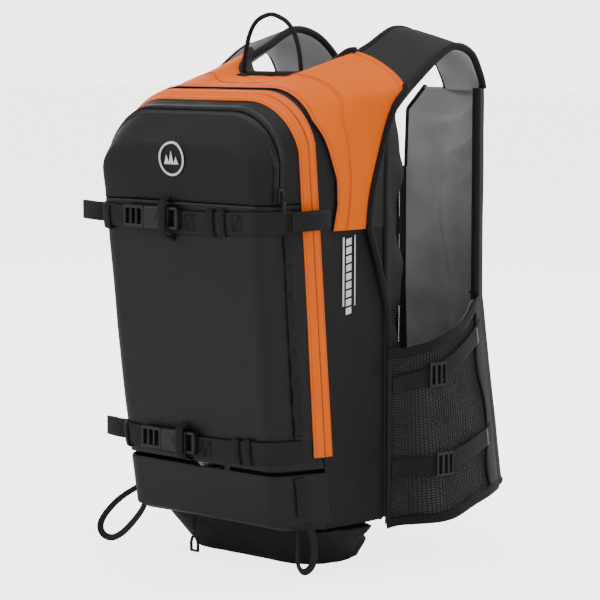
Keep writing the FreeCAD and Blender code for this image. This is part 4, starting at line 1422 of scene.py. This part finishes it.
def chestShareLimit(z):
    # how far towards the centre the panel reaches at a height, because the neck is cut away
    if z < 0.448:
        return 1.0
    edge = steps([(0.448, 0.0132), (0.519, 0.016), (0.547, 0.044)], z)
    low, high = 0.0, 1.0
    for turn in range(18):
        middle = (low + high) / 2
        low, high = (middle, high) if chestPoint(middle, z).x >= edge else (low, middle)
    return low


creases = [(0.02, 0.530, 0.16, 0.462, 0.0050), (0.01, 0.500, 0.15, 0.420, 0.0042),
           (0.05, 0.545, 0.17, 0.500, 0.0036), (0.00, 0.455, 0.11, 0.385, 0.0038),
           (0.06, 0.430, 0.09, 0.250, 0.0042), (0.11, 0.400, 0.12, 0.200, 0.0040),
           (0.02, 0.380, 0.05, 0.180, 0.0036), (0.15, 0.440, 0.14, 0.230, 0.0034),
           (0.03, 0.250, 0.12, 0.160, 0.0034)]


def creaseHeight(a, z):
    # sharp-backed folds in the lining, each a ridge between two points of the cloth
    total = 0.0
    for a0, z0, a1, z1, height in creases:
        da, dz = a1 - a0, z1 - z0
        size = da * da + dz * dz
        t = ((a - a0) * da + (z - z0) * dz) / size
        off = ((a - a0) * dz - (z - z0) * da) / math.sqrt(size) + 0.004 * math.sin(t * 7)
        fade = smoothstep(t / 0.2) * smoothstep((1 - t) / 0.25)
        total += 1.9 * height * fade * max(0.0, 1 - abs(off) / (0.007 if off < 0 else 0.020)) ** 1.3
    return total


def chestSheet(side, depth, ripple, seed, drop=0.0):
    # one layer of the chest panel between the hem and the shoulder seam
    levels = 170

    def place(u, v):
        z = vest["hem"] + (vest["join"] - vest["hem"]) * v - drop * (1 - v)
        share = u * chestShareLimit(z)
        fold = 0.0
        if ripple:
            edge = (smoothstep(u / 0.08) * smoothstep((1 - u) / 0.08) * smoothstep(v / 0.04)
                    * smoothstep((1 - v) / 0.03))
            spot = Vector((share * 0.19, z, 0))
            slant = Vector((spot.x * 17 + spot.y * 5, spot.y * 9 - spot.x * 8, seed))
            soft = noise.noise(slant) + 0.4 * noise.noise(slant * 2.6)
            fold = edge * (ripple * 0.45 * soft + (creaseHeight(spot.x, z) if ripple > 0.005
                                                   else 0.0))
        point = chestPoint(share, z, depth + fold)
        return mirrored(side, point)

    return gridCloth(96, levels, place, (0.19, 0.475))


def chestPanel(side):
    name = "Right" if side > 0 else "Left"
    outer = chestSheet(side, 0.0006, 0.0016, 3.0 + side)
    faceOut(outer, Vector((side * 0.08, 0.12, 0.31)))
    shell = finishPiece("chestPanel" + name, outer, "pack", "softshell",
                        ("chest_panel_" + name.lower(),))
    thicken(shell, 0.0012)
    inner = chestSheet(side, vest["thick"], wrinkles["lining"], 11.0 + side)
    faceOut(inner, Vector((side * 0.08, 0.12, 0.31)))
    bmesh.ops.reverse_faces(inner, faces=inner.faces)
    lining = finishPiece("chestLining" + name, inner, "pack", ("lining", "gusset"))
    for face in lining.data.polygons:
        x, z = abs(face.center.x), face.center.z
        if z < 0.302 and x > 0.128 + 0.6 * flareAt(z) + 0.005 * math.sin(z * 52):
            face.material_index = 1
    thicken(lining, 0.0008)


for side in (1, -1):
    chestPanel(side)


def panelBinding(name, side, spots, radius):
    line = [mirrored(side, p) for p in spots]
    return pipe(name, line, radius, "pack", "binding")


def chestBindings(side):
    name = "Right" if side > 0 else "Left"
    zs = [0.300 + (0.5475 - 0.300) * i / 60 for i in range(61)]
    panelBinding("armholeBinding" + name, side, [chestPoint(0.0, z, 0.003) for z in zs], 0.0052)
    zs = [0.448 + (0.547 - 0.448) * i / 40 for i in range(41)]
    panelBinding("neckEdge" + name, side, [chestPoint(chestShareLimit(z), z, 0.003) for z in zs],
                 0.0040)
    zs = [0.0725 + (0.448 - 0.0725) * i / 60 for i in range(61)]
    panelBinding("centreEdge" + name, side, [chestPoint(1.0, z, 0.003) for z in zs], 0.0030)
    panelBinding("hemEdge" + name, side, [chestPoint(i / 50, 0.0745, 0.003) for i in range(51)],
                 0.0040)


for side in (1, -1):
    chestBindings(side)
print("chest panels")

def backWing(side):
    # wavy black cloth that stands off the back edge of the pack, behind the armhole
    wide = [(0.24, 0.034), (0.36, 0.036), (0.42, 0.030), (0.46, 0.037), (0.50, 0.034),
            (0.54, 0.030)]

    def place(u, v):
        z = 0.245 + 0.290 * v
        x = (0.1512 - 0.010 * u + 0.0040 * u * math.sin(z * 55 + u * 2) + 0.0015 * u
             * math.sin(z * 130))
        return Vector((side * x, 0.0715 + u * steps(wide, z), z))

    bm = gridCloth(20, 90, place, (0.034, 0.29))
    faceOut(bm, Vector((0, 0.09, 0.4)))
    thicken(finishPiece("backWing" + ("Right" if side > 0 else "Left"), bm, "pack", "gusset"), 0.0016, 0.0)


for side in (1, -1):
    backWing(side)

# ---- mesh sides ----

sides = {
    "plan": [(0.1515, 0.073), (0.162, 0.086), (0.181, 0.112), (0.187, 0.150), (0.180, 0.194),
             (0.1675, 0.2255)],
    "top": [(0.040, 0.250), (0.088, 0.249), (0.123, 0.262), (0.171, 0.277), (0.211, 0.297),
            (0.230, 0.300)],
    "low": [(0.040, 0.034), (0.114, 0.054), (0.163, 0.066), (0.208, 0.072), (0.260, 0.072)],
    "holesAcross": 50, "holesUp": 68,
}


def sidePoint(t, z, out=0.0):
    # point of the side panel, t from the pack seam to the chest panel
    flare = flareAt(z)
    points = [Vector((x + flare * (x > 0.165), y + 0.4 * flare * (y > 0.18), 0)) for x,
              y in sides["plan"]]
    spot = curvePoint(points, t)
    ahead = (curvePoint(points, min(t + 0.02, 1)) - curvePoint(points,
            max(t - 0.02, 0))).normalized()
    outward = Vector((ahead.y, -ahead.x, 0))
    return Vector((spot.x, spot.y, z)) + outward * out


def sideEdges(t):
    y = sidePoint(t, 0.2).y
    return steps(sides["low"], y), steps(sides["top"], y)


def meshCloth(side):
    # open netting: a grid whose cells are inset and emptied, then laid over the side of the wearer
    bm = bmesh.new()
    bmesh.ops.create_grid(bm, x_segments=sides["holesAcross"], y_segments=sides["holesUp"],
                          size=1.0, calc_uvs=True)
    made = bmesh.ops.inset_individual(bm, faces=bm.faces[:], thickness=0.0072, depth=0.0,
                                      use_even_offset=False)
    holes = [face for face in bm.faces if face not in set(made["faces"])]
    bmesh.ops.delete(bm, geom=holes, context="FACES_ONLY")
    layer = bm.loops.layers.uv.verify()
    for face in bm.faces:
        for loop in face.loops:
            loop[layer].uv = ((loop.vert.co.x + 1) * 0.08, (loop.vert.co.y + 1) * 0.11)
    for vert in bm.verts:
        u, v = (vert.co.x + 1) / 2, (vert.co.y + 1) / 2
        t = 0.006 + 0.99 * u
        low, high = sideEdges(t)
        z = low + (high - low) * v
        spot = Vector((u * 0.16, z, 0))
        ripple = (0.0022 * noise.noise(Vector((spot.x * 26 + z * 9, z * 14, 5)))
                  * math.sin(math.pi * v) ** 0.5)
        point = sidePoint(t, z, -0.0012 + ripple)
        vert.co = (side * point.x, point.y, point.z)
    if side < 0:
        bmesh.ops.reverse_faces(bm, faces=bm.faces)
    bm.normal_update()
    name = sideName(side)
    piece = finishPiece("sideMesh" + name.capitalize(), bm, "pack", "openMesh",
                        ("side_mesh_" + name,))
    return thicken(piece, 0.0007, 0.0)


def sideBand(name, side, edgeLow, edgeHigh, out=0.0008, material="binding", cols=60, rows=8,
             thick=0.0014):
    # cloth facing along the mesh between two height functions of t
    def place(u, v):
        low, high = edgeLow(v), edgeHigh(v)
        z = low + (high - low) * u
        point = sidePoint(v, z, out + 0.0009 * math.sin(math.pi * u))
        return mirrored(side, point)

    bm = gridCloth(rows, cols, place, (0.015, 0.16))
    faceOut(bm, Vector((side * 0.05, 0.15, 0.2)))
    return thicken(finishPiece(name, bm, "pack", material), thick, 0.0)


def sidePanel(side):
    name = "Right" if side > 0 else "Left"
    meshCloth(side)
    sideBand("meshTopBinding" + name, side, lambda t: sideEdges(t)[1] - 0.0085,
             lambda t: sideEdges(t)[1] + 0.0030, 0.0014)
    sideBand("meshHemBinding" + name, side, lambda t: sideEdges(t)[0] - 0.0015,
             lambda t: sideEdges(t)[0] + 0.0085, 0.0014)

    def seamFacing(edge, width):
        def place(u, v):
            reach = u * width * (1 + (0.18 * math.sin(v * 11) if edge > 0.5 else 0.0))
            t = edge + (reach if edge < 0.5 else -reach)
            low, high = sideEdges(max(0.0, min(1.0, t)))
            point = sidePoint(max(0.0, min(1.0, t)), low + (high - low) * v, 0.0009)
            return mirrored(side, point)
        bm = gridCloth(8, 80, place, (0.014, 0.24))
        faceOut(bm, Vector((side * 0.05, 0.15, 0.2)))
        return bm

    def backing(u, v):
        t = 0.01 + 0.98 * u
        low, high = sideEdges(t)
        z = low + 0.002 + (high - low - 0.004) * v
        point = sidePoint(t, z, -0.0062 + 0.0020 * noise.noise(Vector((u * 5 + z * 20, z * 9, 3))))
        return mirrored(side, point)

    behind = gridCloth(40, 50, backing, (0.16, 0.24))
    faceOut(behind, Vector((side * 0.05, 0.15, 0.2)))
    thicken(finishPiece("meshBacking" + name, behind, "pack", "meshBacking"),
            0.0008, 0.0)
    parts = [seamFacing(0.0, 0.10), seamFacing(1.0, 0.19)]
    thicken(finishPiece("meshFacings" + name, joined(parts), "pack", "gusset"),
            0.0013, 0.0)


sideWeb = {
    "heights": ((0.210, 0.262), (0.112, 0.140)),  # at the back and front edge of each webbing
    "backY": 0.084, "depth": 0.124,
    "wide": 0.0195, "lift": 0.0019, "thick": 0.0014,
    "tackAt": 0.80, "tackGap": 0.012, "tackWide": 0.017, "tackLift": 0.0031,
}


def sideWebHeight(ends, t, across):
    zBack, zFront = ends
    y = sidePoint(t, 0.2).y
    return zBack + (zFront - zBack) * (y - sideWeb["backY"]) / sideWeb["depth"] + across


def sideStraps(side):
    name = sideName(side)
    parts = []
    for ends in sideWeb["heights"]:
        def place(u, v, ends=ends):
            t = 0.10 + 0.80 * v
            z = sideWebHeight(ends, t, (u - 0.5) * sideWeb["wide"])
            point = sidePoint(t, z, sideWeb["lift"])
            return mirrored(side, point)

        bm = gridCloth(6, 60, place, (sideWeb["wide"], 0.14))
        faceOut(bm, Vector((side * 0.05, 0.15, 0.2)))
        parts.append(bm)
    piece = finishPiece("sideStraps" + name.capitalize(), joined(parts), "pack", "webbing",
                        ("side_straps_" + name,))
    thicken(piece, sideWeb["thick"], 0.0)
    runs = []
    for ends in sideWeb["heights"]:
        for k in (0, 1):
            def spot(w, ends=ends, t=sideWeb["tackAt"] + k * sideWeb["tackGap"]):
                z = sideWebHeight(ends, t, (w - 0.5) * sideWeb["tackWide"])
                point = sidePoint(t, z, sideWeb["tackLift"])
                outward = (sidePoint(t, z, 0.02) - point).normalized()
                return (mirrored(side, point),
                        mirrored(side, outward))
            runs.append(runOf(spot, 8))
    stitches("sideStrapTacks" + name.capitalize(), runs, "pack", "paleThread", 0.0018, 0.0007)


for side in (1, -1):
    sidePanel(side)
    sideStraps(side)
print("mesh sides")

# ---- vest closure: centre zip, sternum and waist buckles, trigger ----

closure = {"y": 0.283, "low": 0.074, "high": 0.448, "tape": 0.0122, "reach": 0.092}


def centreZip():
    def half(side):
        def place(u, v):
            lip = 0.0008 * math.exp(-(u / 0.14) ** 2)
            y = closure["y"] + 0.0010 + lip + 0.0003 * math.sin(v * 40)
            return Vector((side * (0.0006 + u * closure["tape"]), y,
                           closure["low"] + (closure["high"] - closure["low"]) * v))
        bm = gridCloth(8, 80, place, (closure["tape"], 0.374))
        faceOut(bm, Vector((0, 0.1, 0.26)))
        return bm

    piece = finishPiece("centreZipTapes", joined([half(1), half(-1)]), "pack", "blackTape",
                        ("vest_zip_tapes",))
    thicken(piece, 0.0012, 0.0)
    bm = bmesh.new()
    count = 120
    for i in range(count):
        z = closure["low"] + 0.002 + (closure["high"] - closure["low"] - 0.004) * i / (count - 1)
        x = 0.0005 * (1 if i % 2 else -1)
        blockOf(bm, (x - 0.0016, closure["y"] + 0.0008, z - 0.0009),
                (x + 0.0016, closure["y"] + 0.0030, z + 0.0009))
    finishPiece("centreZipTeeth", bm, "pack", "acetal", smooth=False)


centreZip()


def closureWeb(side, z, wide):
    # webbing from the chest panel across to the middle buckle
    def place(u, v):
        x = 0.0245 + (closure["reach"] - 0.0245) * v
        cloth = 0.0
        for i in range(60):
            spot = chestPoint(1 - i / 60, z)
            if spot.x >= x:
                cloth = spot.y
                break
        y = cloth + 0.0016
        near = 0.2975
        blend = smoothstep((x - 0.030) / 0.028)
        y = near * (1 - blend) + max(y, 0.2) * blend
        return Vector((side * x, y, z + (u - 0.5) * wide))

    bm = gridCloth(6, 50, place, (wide, 0.068))
    faceOut(bm, Vector((0, 0.1, z)))
    return bm


for label, z, wide in (("sternum", 0.372, 0.0195), ("waist", 0.175, 0.0375)):
    piece = finishPiece(label + "WebRight", closureWeb(1, z, wide), label + "_tongue", "webbing",
                        (label + "_web",))
    thicken(piece, 0.0015, 0.0)
lefts = joined([closureWeb(-1, 0.372, 0.0195), closureWeb(-1, 0.175, 0.0375)])
thicken(finishPiece("closureWebsLeft", lefts, "pack", "webbing", ("fixed_webs",)),
        0.0015, 0.0)


def closureBuckle(label, z, wide):
    w = wide / 2
    low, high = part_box(label + "_receiver")
    y0, y1 = low[1], high[1]
    bm = bmesh.new()
    for sign in (-1, 1):
        blockOf(bm, (-0.0255, y0, z + sign * (w - 0.002) - 0.002),
                (0.0018, y1, z + sign * (w - 0.002) + 0.002))
    blockOf(bm, (-0.0170, y1 - 0.0018, z - w + 0.002), (0.0018, y1, z + w - 0.002))
    blockOf(bm, (-0.0170, y0, z - w + 0.002), (0.0018, y0 + 0.0016, z + w - 0.002))
    blockOf(bm, (-0.0257, y0 + 0.0015, z - w + 0.001), (-0.0215, y1 - 0.0015, z + w - 0.001))
    blockOf(bm, (-0.0135, y1 - 0.0002, z - w * 0.45), (-0.0035, y1 + 0.0008, z + w * 0.45))
    bevelAll(bm, 0.0008)
    finishPiece(label + "Receiver", bm, "pack", "acetal", (label + "_receiver",),
                smooth=False)
    low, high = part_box(label + "_tongue")
    bm = bmesh.new()
    blockOf(bm, (0.0035, low[1], z - w), (0.0085, high[1], z + w))
    for sign in (-1, 1):
        blockOf(bm, (0.0075, low[1], z + sign * (w - 0.0016) - 0.0016),
                (0.0250, low[1] + 0.0034, z + sign * (w - 0.0016) + 0.0016))
        blockOf(bm, (-0.0135, low[1] + 0.0017, z + sign * (w * 0.55) - 0.0016),
                (0.0045, low[1] + 0.0043, z + sign * (w * 0.55) + 0.0016))
    for x in (0.0135, 0.0212):
        blockOf(bm, (x, low[1] + 0.0002, z - w + 0.001),
                (x + 0.0036, low[1] + 0.0030, z + w - 0.001))
    bevelAll(bm, 0.0007)
    finishPiece(label + "Tongue", bm, label + "_tongue", "acetal",
                (label + "_tongue",), smooth=False)


closureBuckle("sternum", 0.372, 0.020)
closureBuckle("waist", 0.175, 0.038)


def triggerPouch():
    low, high = (Vector(c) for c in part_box("trigger_pocket"))
    bm = bmesh.new()
    blockOf(bm, low + Vector((0.0005, 0.009, 0)), high)
    bmesh.ops.subdivide_edges(bm, edges=bm.edges[:], cuts=5, use_grid_fill=True)
    bmesh.ops.smooth_vert(bm, verts=bm.verts, factor=0.5, use_axis_x=True, use_axis_y=True,
                          use_axis_z=True)
    middle = (low + high) / 2
    for vert in bm.verts:
        fold = rumple(vert.co, (30, 30, 26), 0.0012, 4.0)
        vert.co += (vert.co - middle).normalized() * fold
    bm.normal_update()
    piece = finishPiece("triggerPouch", bm, "pack", "softshell",
                        ("trigger_pocket",))
    smooth = piece.modifiers.new("soft", "SUBSURF")
    smooth.levels = smooth.render_levels = 1
    rim = [Vector((x, y, low.z + 0.001)) for x, y in
           ((low.x + 0.003, high.y - 0.001), (high.x - 0.003, high.y - 0.001))]
    line = [rim[0].lerp(rim[1], i / 20) for i in range(21)]
    pipe("triggerPouchEdge", line, 0.0018, "pack", "binding")


def triggerHandle():
    # T grip with finger ribs on a webbing stem
    low, high = (Vector(c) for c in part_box("trigger_handle"))
    middle = (low + high) / 2
    bm = bmesh.new()
    blockOf(bm, (low.x, low.y + 0.0004, low.z), (high.x, high.y - 0.0004, low.z + 0.0165))
    bevelAll(bm, 0.0055, 4)
    blockOf(bm, (middle.x - 0.0058, low.y + 0.0034, low.z + 0.012),
            (middle.x + 0.0058, high.y - 0.0014, high.z))
    for i in range(5):
        x = middle.x - 0.018 + 0.009 * i
        blockOf(bm, (x - 0.0014, high.y - 0.0012, low.z + 0.003),
                (x + 0.0014, high.y + 0.0003, low.z + 0.0135))
    finishPiece("triggerHandle", bm, "trigger_handle", "gripRed", ("trigger_handle",),
                smooth=False)


triggerPouch()
triggerHandle()
print("vest closure")

# ---- loops, pulls and sliders ----

haul = {"points": [(-0.045, 0.045, 0.5665), (-0.042, 0.045, 0.5951), (-0.029, 0.045, 0.625),
                   (-0.006, 0.045, 0.6345), (0.008, 0.045, 0.6325), (0.029, 0.045, 0.6223),
                   (0.043, 0.045, 0.5937), (0.045, 0.045, 0.5665)],
        "radius": 0.0027}


def haulLoop():
    line = splinePoints("haulLoop", haul["points"], 14)
    pipe("haulLoopCord", line, haul["radius"], "haul_loop", "binding",
         ("haul_loop",))
    parts = []
    for x in (-0.045, 0.045):
        def place(u, v, x=x):
            px, py = x + (v - 0.5) * 0.024, 0.044 + (u - 0.5) * 0.017
            base = castOn(packShell, Vector((px, py, 0.560)), Vector((0, 0, 1)), 0.0026)
            return base + Vector((0, 0, 0.0024 * math.exp(-((v - 0.5) / 0.16) ** 2)))
        bm = gridCloth(6, 16, place, (0.017, 0.024))
        faceOut(bm, packMiddle)
        parts.append(bm)
    piece = finishPiece("haulLoopTabs", joined(parts), "pack", "webbing",
                        ("haul_loop_anchors",))
    thicken(piece, 0.0015)


haulLoop()


def hangingPull():
    low, high = (Vector(c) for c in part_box("hanging_pull"))
    x, y = (low.x + high.x) / 2, (low.y + high.y) / 2
    for sign in (-1, 1):
        line = [Vector((x + sign * 0.0024 * math.sin(math.pi * min(1, t * 1.4)), y,
                        high.z - t * 0.022)) for t in
                [i / 16 for i in range(17)]]
        pipe("pullCord" + ("Left" if sign < 0 else "Right"), line, 0.0009, "hanging_pull",
             "binding")
    bm = bmesh.new()
    ring = [(-0.0035, 0.0205), (-0.0056, 0.014), (-0.0052, 0.0045), (0.0052, 0.0045),
            (0.0056, 0.014), (0.0035, 0.0205)]
    for (xa, za), (xb, zb) in zip(ring, ring[1:]):
        a, b = Vector((x + xa, y, low.z + za - 0.003)), Vector((x + xb, y, low.z + zb - 0.003))
        way = (b - a).normalized()
        side = way.cross(Vector((0, 1, 0)))
        matrix = Matrix.Translation((a + b) / 2) @ Matrix((way, Vector((0, 1, 0)),
                                                           side)).transposed().to_4x4()
        bmesh.ops.create_cube(bm, size=1.0,
                              matrix=matrix @ Matrix.Diagonal(((b - a).length + 0.002, 0.0034,
                                      0.0026, 1)))
    bevelAll(bm, 0.0006)
    finishPiece("pullToggle", bm, "hanging_pull", "acetal", ("hanging_pull",),
                smooth=False)


hangingPull()


def sliderPiece(node, side):
    # moulded slider body with a bridge and a cord pull with a tab
    low, high = (Vector(c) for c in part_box(node))
    y = (low.y + high.y) / 2
    inner, outer = (low.x, high.x) if side > 0 else (high.x, low.x)
    bm = bmesh.new()
    a, b = sorted((inner + side * 0.0002, inner + side * 0.0022))
    blockOf(bm, (a, y - 0.0044, high.z - 0.016), (b, y + 0.0044, high.z - 0.003))
    a, b = sorted((inner + side * 0.0022, inner + side * 0.0040))
    blockOf(bm, (a, y - 0.0012, high.z - 0.0145), (b, y + 0.0012, high.z - 0.0045))
    a, b = sorted((outer - side * 0.0018, outer))
    blockOf(bm, (a, y - 0.0026, low.z), (b, y + 0.0026, low.z + 0.012))
    blockOf(bm, (a, y - 0.0009, low.z + 0.011), (b, y + 0.0009, high.z - 0.006))
    bevelAll(bm, 0.0006)
    finishPiece(node.replace("_", " ").title().replace(" ", "") + "Body", bm, node, "blackMetal",
                (node,), smooth=False)


for node, side in (("main_slider_upper", -1), ("main_slider_lower", -1),
                   ("pocket_slider_right", 1), ("pocket_slider_left", -1)):
    sliderPiece(node, side)


def zipGarage():
    # small fabric tabs that cover the ends of the pocket zip
    parts = []
    for side in (1, -1):
        def place(u, v, side=side):
            z = 0.4265 + 0.016 * v
            y = pack["coverY"] - 0.009 + 0.019 * u
            return castOn(packShell, Vector((side * 0.05, y, z)), Vector((side, 0, 0)), 0.0034)
        bm = gridCloth(8, 8, place, (0.019, 0.016))
        faceOut(bm, packMiddle)
        parts.append(bm)
    thicken(finishPiece("pocketZipTabs", joined(parts), "front_panel", "binding"),
            0.0014)


zipGarage()
print("loops and sliders")

# ---- badge and side mark: plain rings and bars with no lettering ----


def badge():
    # ring with three plain peaks, laid on the pocket cover
    centreX, centreZ = -0.004, 0.472

    def laid(x, z):
        return castOn(coverSurface, Vector((x, -0.10, z)), Vector((0, -1, 0)), 0.0004)

    def circle(u, v):
        a, r = v * 2 * math.pi, 0.0168 + 0.0026 * u
        return laid(centreX + r * math.cos(a), centreZ + r * math.sin(a))

    parts = [gridCloth(3, 72, circle, (0.003, 0.12))]
    bmesh.ops.remove_doubles(parts[0], verts=parts[0].verts, dist=0.00003)
    peaks = [(-0.0112, -0.0062, -0.0030, 0.0042), (-0.0040, -0.0062, 0.0036, 0.0092),
             (0.0034, -0.0062, 0.0106, 0.0026)]
    for left, base, right, top in peaks:
        def slope(u, v, left=left, base=base, right=right, top=top):
            ridge = (top - base) * (1 - abs(2 * u - 1))
            return laid(centreX + left + (right - left) * u, centreZ + base + ridge * v)
        parts.append(gridCloth(10, 4, slope, (0.01, 0.01)))
    mark = joined(parts)
    faceOut(mark, packMiddle)
    thicken(finishPiece("badgeMark", mark, "pocket_cover", "whitePrint",
                        ("emblem_patch",)), 0.0004, 1.0)


badge()


def sideMark():
    # three plain upright bars of different widths in place of lettering
    parts = []
    for y, wide, low, high in ((0.0025, 0.0026, 0.306, 0.384), (0.0105, 0.0082, 0.296, 0.384),
                               (0.0200, 0.0016, 0.306, 0.386)):
        pieces = 9 if wide > 0.005 else 1
        for i in range(pieces):
            span = (high - low) / pieces
            a, b = low + i * span, low + (i + 1) * span - (0.0022 if pieces > 1 else 0.0)

            def place(u, v, y=y, wide=wide, a=a, b=b, pieces=pieces):
                z = a + (b - a) * v + (0.0016 * u if pieces > 1 else 0)
                return castOn(packShell, Vector((0.05, y + (u - 0.5) * wide, z)), Vector((1, 0, 0)),
                              0.0016)
            parts.append(gridCloth(4, 6, place, (wide, b - a)))
    mark = joined(parts)
    faceOut(mark, packMiddle)
    return thicken(finishPiece("sideMark", mark, "pack", "whitePrint"), 0.0003, 1.0)


sideMark()
print("marks")

# ---- padded back and base ----


def softPad(name, node, voxel, cap, shrink, body, material, shape=None):
    # the CAD pad drawn in a little, remeshed and swelled by a short cloth run
    bm = bmesh.new()
    bm.from_mesh(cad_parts[node].data)
    bmesh.ops.remove_doubles(bm, verts=bm.verts, dist=0.00005)
    low, high = (Vector(c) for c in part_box(node))
    half = (high - low) / 2
    centre = (high + low) / 2
    for vert in bm.verts:
        for axis in range(3):
            vert.co[axis] = (centre[axis] + (vert.co[axis] - centre[axis])
                             * (1 - shrink / half[axis]))
    mesh = bpy.data.meshes.new(name)
    bm.to_mesh(mesh)
    bm.free()
    piece = bpy.data.objects.new(name, mesh)
    bpy.context.scene.collection.objects.link(piece)
    remesh = piece.modifiers.new("even", "REMESH")
    remesh.mode = "VOXEL"
    remesh.voxel_size = voxel
    applyModifiers(piece)
    before = [vert.co.copy() for vert in piece.data.vertices]
    cloth = piece.modifiers.new("swell", "CLOTH")
    cloth.settings.use_pressure = True
    cloth.settings.uniform_pressure_force = 4.0
    cloth.settings.effector_weights.gravity = 0.0
    cloth.settings.tension_stiffness = 20
    cloth.settings.compression_stiffness = 20
    for step in range(1, 15):
        bpy.context.scene.frame_set(step)
    applyModifiers(piece)
    bpy.context.scene.frame_set(1)
    for vert, start in zip(piece.data.vertices, before):
        move = vert.co - start
        if move.length > cap:
            vert.co = start + move.normalized() * cap
    bm = bmesh.new()
    bm.from_mesh(piece.data)
    if shape:
        shape(bm, low, high)
    for vert in bm.verts:
        for axis in range(3):
            vert.co[axis] = max(low[axis] + 0.0001, min(high[axis] - 0.0001, vert.co[axis]))
    for face in bm.faces:
        face.smooth = True
    bm.to_mesh(piece.data)
    bm.free()
    piece.data.materials.clear()
    piece.data.materials.append(mats[material])
    soft = piece.modifiers.new("soft", "SUBSURF")
    soft.levels = soft.render_levels = 1
    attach(piece, body)
    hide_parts(node)
    return piece


def applyModifiers(piece):
    graph = bpy.context.evaluated_depsgraph_get()
    made = bpy.data.meshes.new_from_object(piece.evaluated_get(graph))
    old = piece.data
    piece.modifiers.clear()
    piece.data = made
    bpy.data.meshes.remove(old)


def backChannels(bm, low, high):
    # sewn cross channels on the side that rests on the wearer
    for vert in bm.verts:
        facing = smoothstep((vert.co.y - (high.y - 0.012)) / 0.010)
        if facing <= 0:
            continue
        groove = 0.0
        for z in (0.115, 0.200, 0.285, 0.370, 0.445):
            level = z + 0.012 * (abs(vert.co.x) / 0.12)
            groove += math.exp(-((vert.co.z - level) / 0.0045) ** 2)
        vert.co.y -= facing * 0.0055 * min(1.0, groove)


def baseHem(bm, low, high):
    # the base keeps its flat underside
    for vert in bm.verts:
        if vert.co.z < low.z + 0.004:
            vert.co.z = low.z
        else:
            vert.co += (vert.co - Vector((0, 0.04, vert.co.z))).normalized() * rumple(
                vert.co, (16, 16, 22), 0.0012, 6.0) * smoothstep((vert.co.z - 0.006) / 0.01)


softPad("backPanelPad", "back_panel", 0.0055, 0.006, 0.0022, "pack", "spacer",
        backChannels)
softPad("basePad", "base_pad", 0.006, 0.004, 0.0012, "pack", "gusset", baseHem)
print("back and base pads")

# ---- airbag system inside ----


def airbagFolds():
    # the folded bag as gathered cloth along the channel under the yoke
    low = 0.4225

    def place(s, v):
        spot, outward = rimFrame(s, low)
        z = rimHeight(s, low)
        a = v * 2 * math.pi
        base = rimPoint(s, 0.024, low)
        middle = base - outward * 0.0215
        pleat = 0.0012 * math.sin(a * 7 + 3 * math.sin(s * 23)) + 0.0008 * math.sin(s * 160)
        return (middle + outward * math.cos(a) * (0.0135 + pleat)
                + Vector((0, math.sin(a) * (0.0205 + pleat), 0)))

    bm = gridCloth(200, 56, place, (rimLength(low), 0.11))
    bmesh.ops.remove_doubles(bm, verts=bm.verts, dist=0.00005)
    bmesh.ops.holes_fill(bm, edges=[edge for edge in bm.edges if edge.is_boundary], sides=0)
    bmesh.ops.recalc_face_normals(bm, faces=bm.faces)
    finishPiece("airbagFolds", bm, "pack", "orangeCloth", ("airbag_bundle",))


airbagFolds()

cadFinish = {
    "acetal": ["frame_sheet", "air_intake", "cylinder_clamp", "inflator_hose", "ladder_locks"],
    "anodised": ["frame_stay", "inflator_body", "gas_cylinder", "piercing_plunger"],
    "blackMetal": ["vest_zip_slider"],
    "sheath": ["release_cable"],
}
for material, names in cadFinish.items():
    for name in names:
        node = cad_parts[name]
        node.data.materials.clear()
        node.data.materials.append(mats[material])
print("inside parts finished")
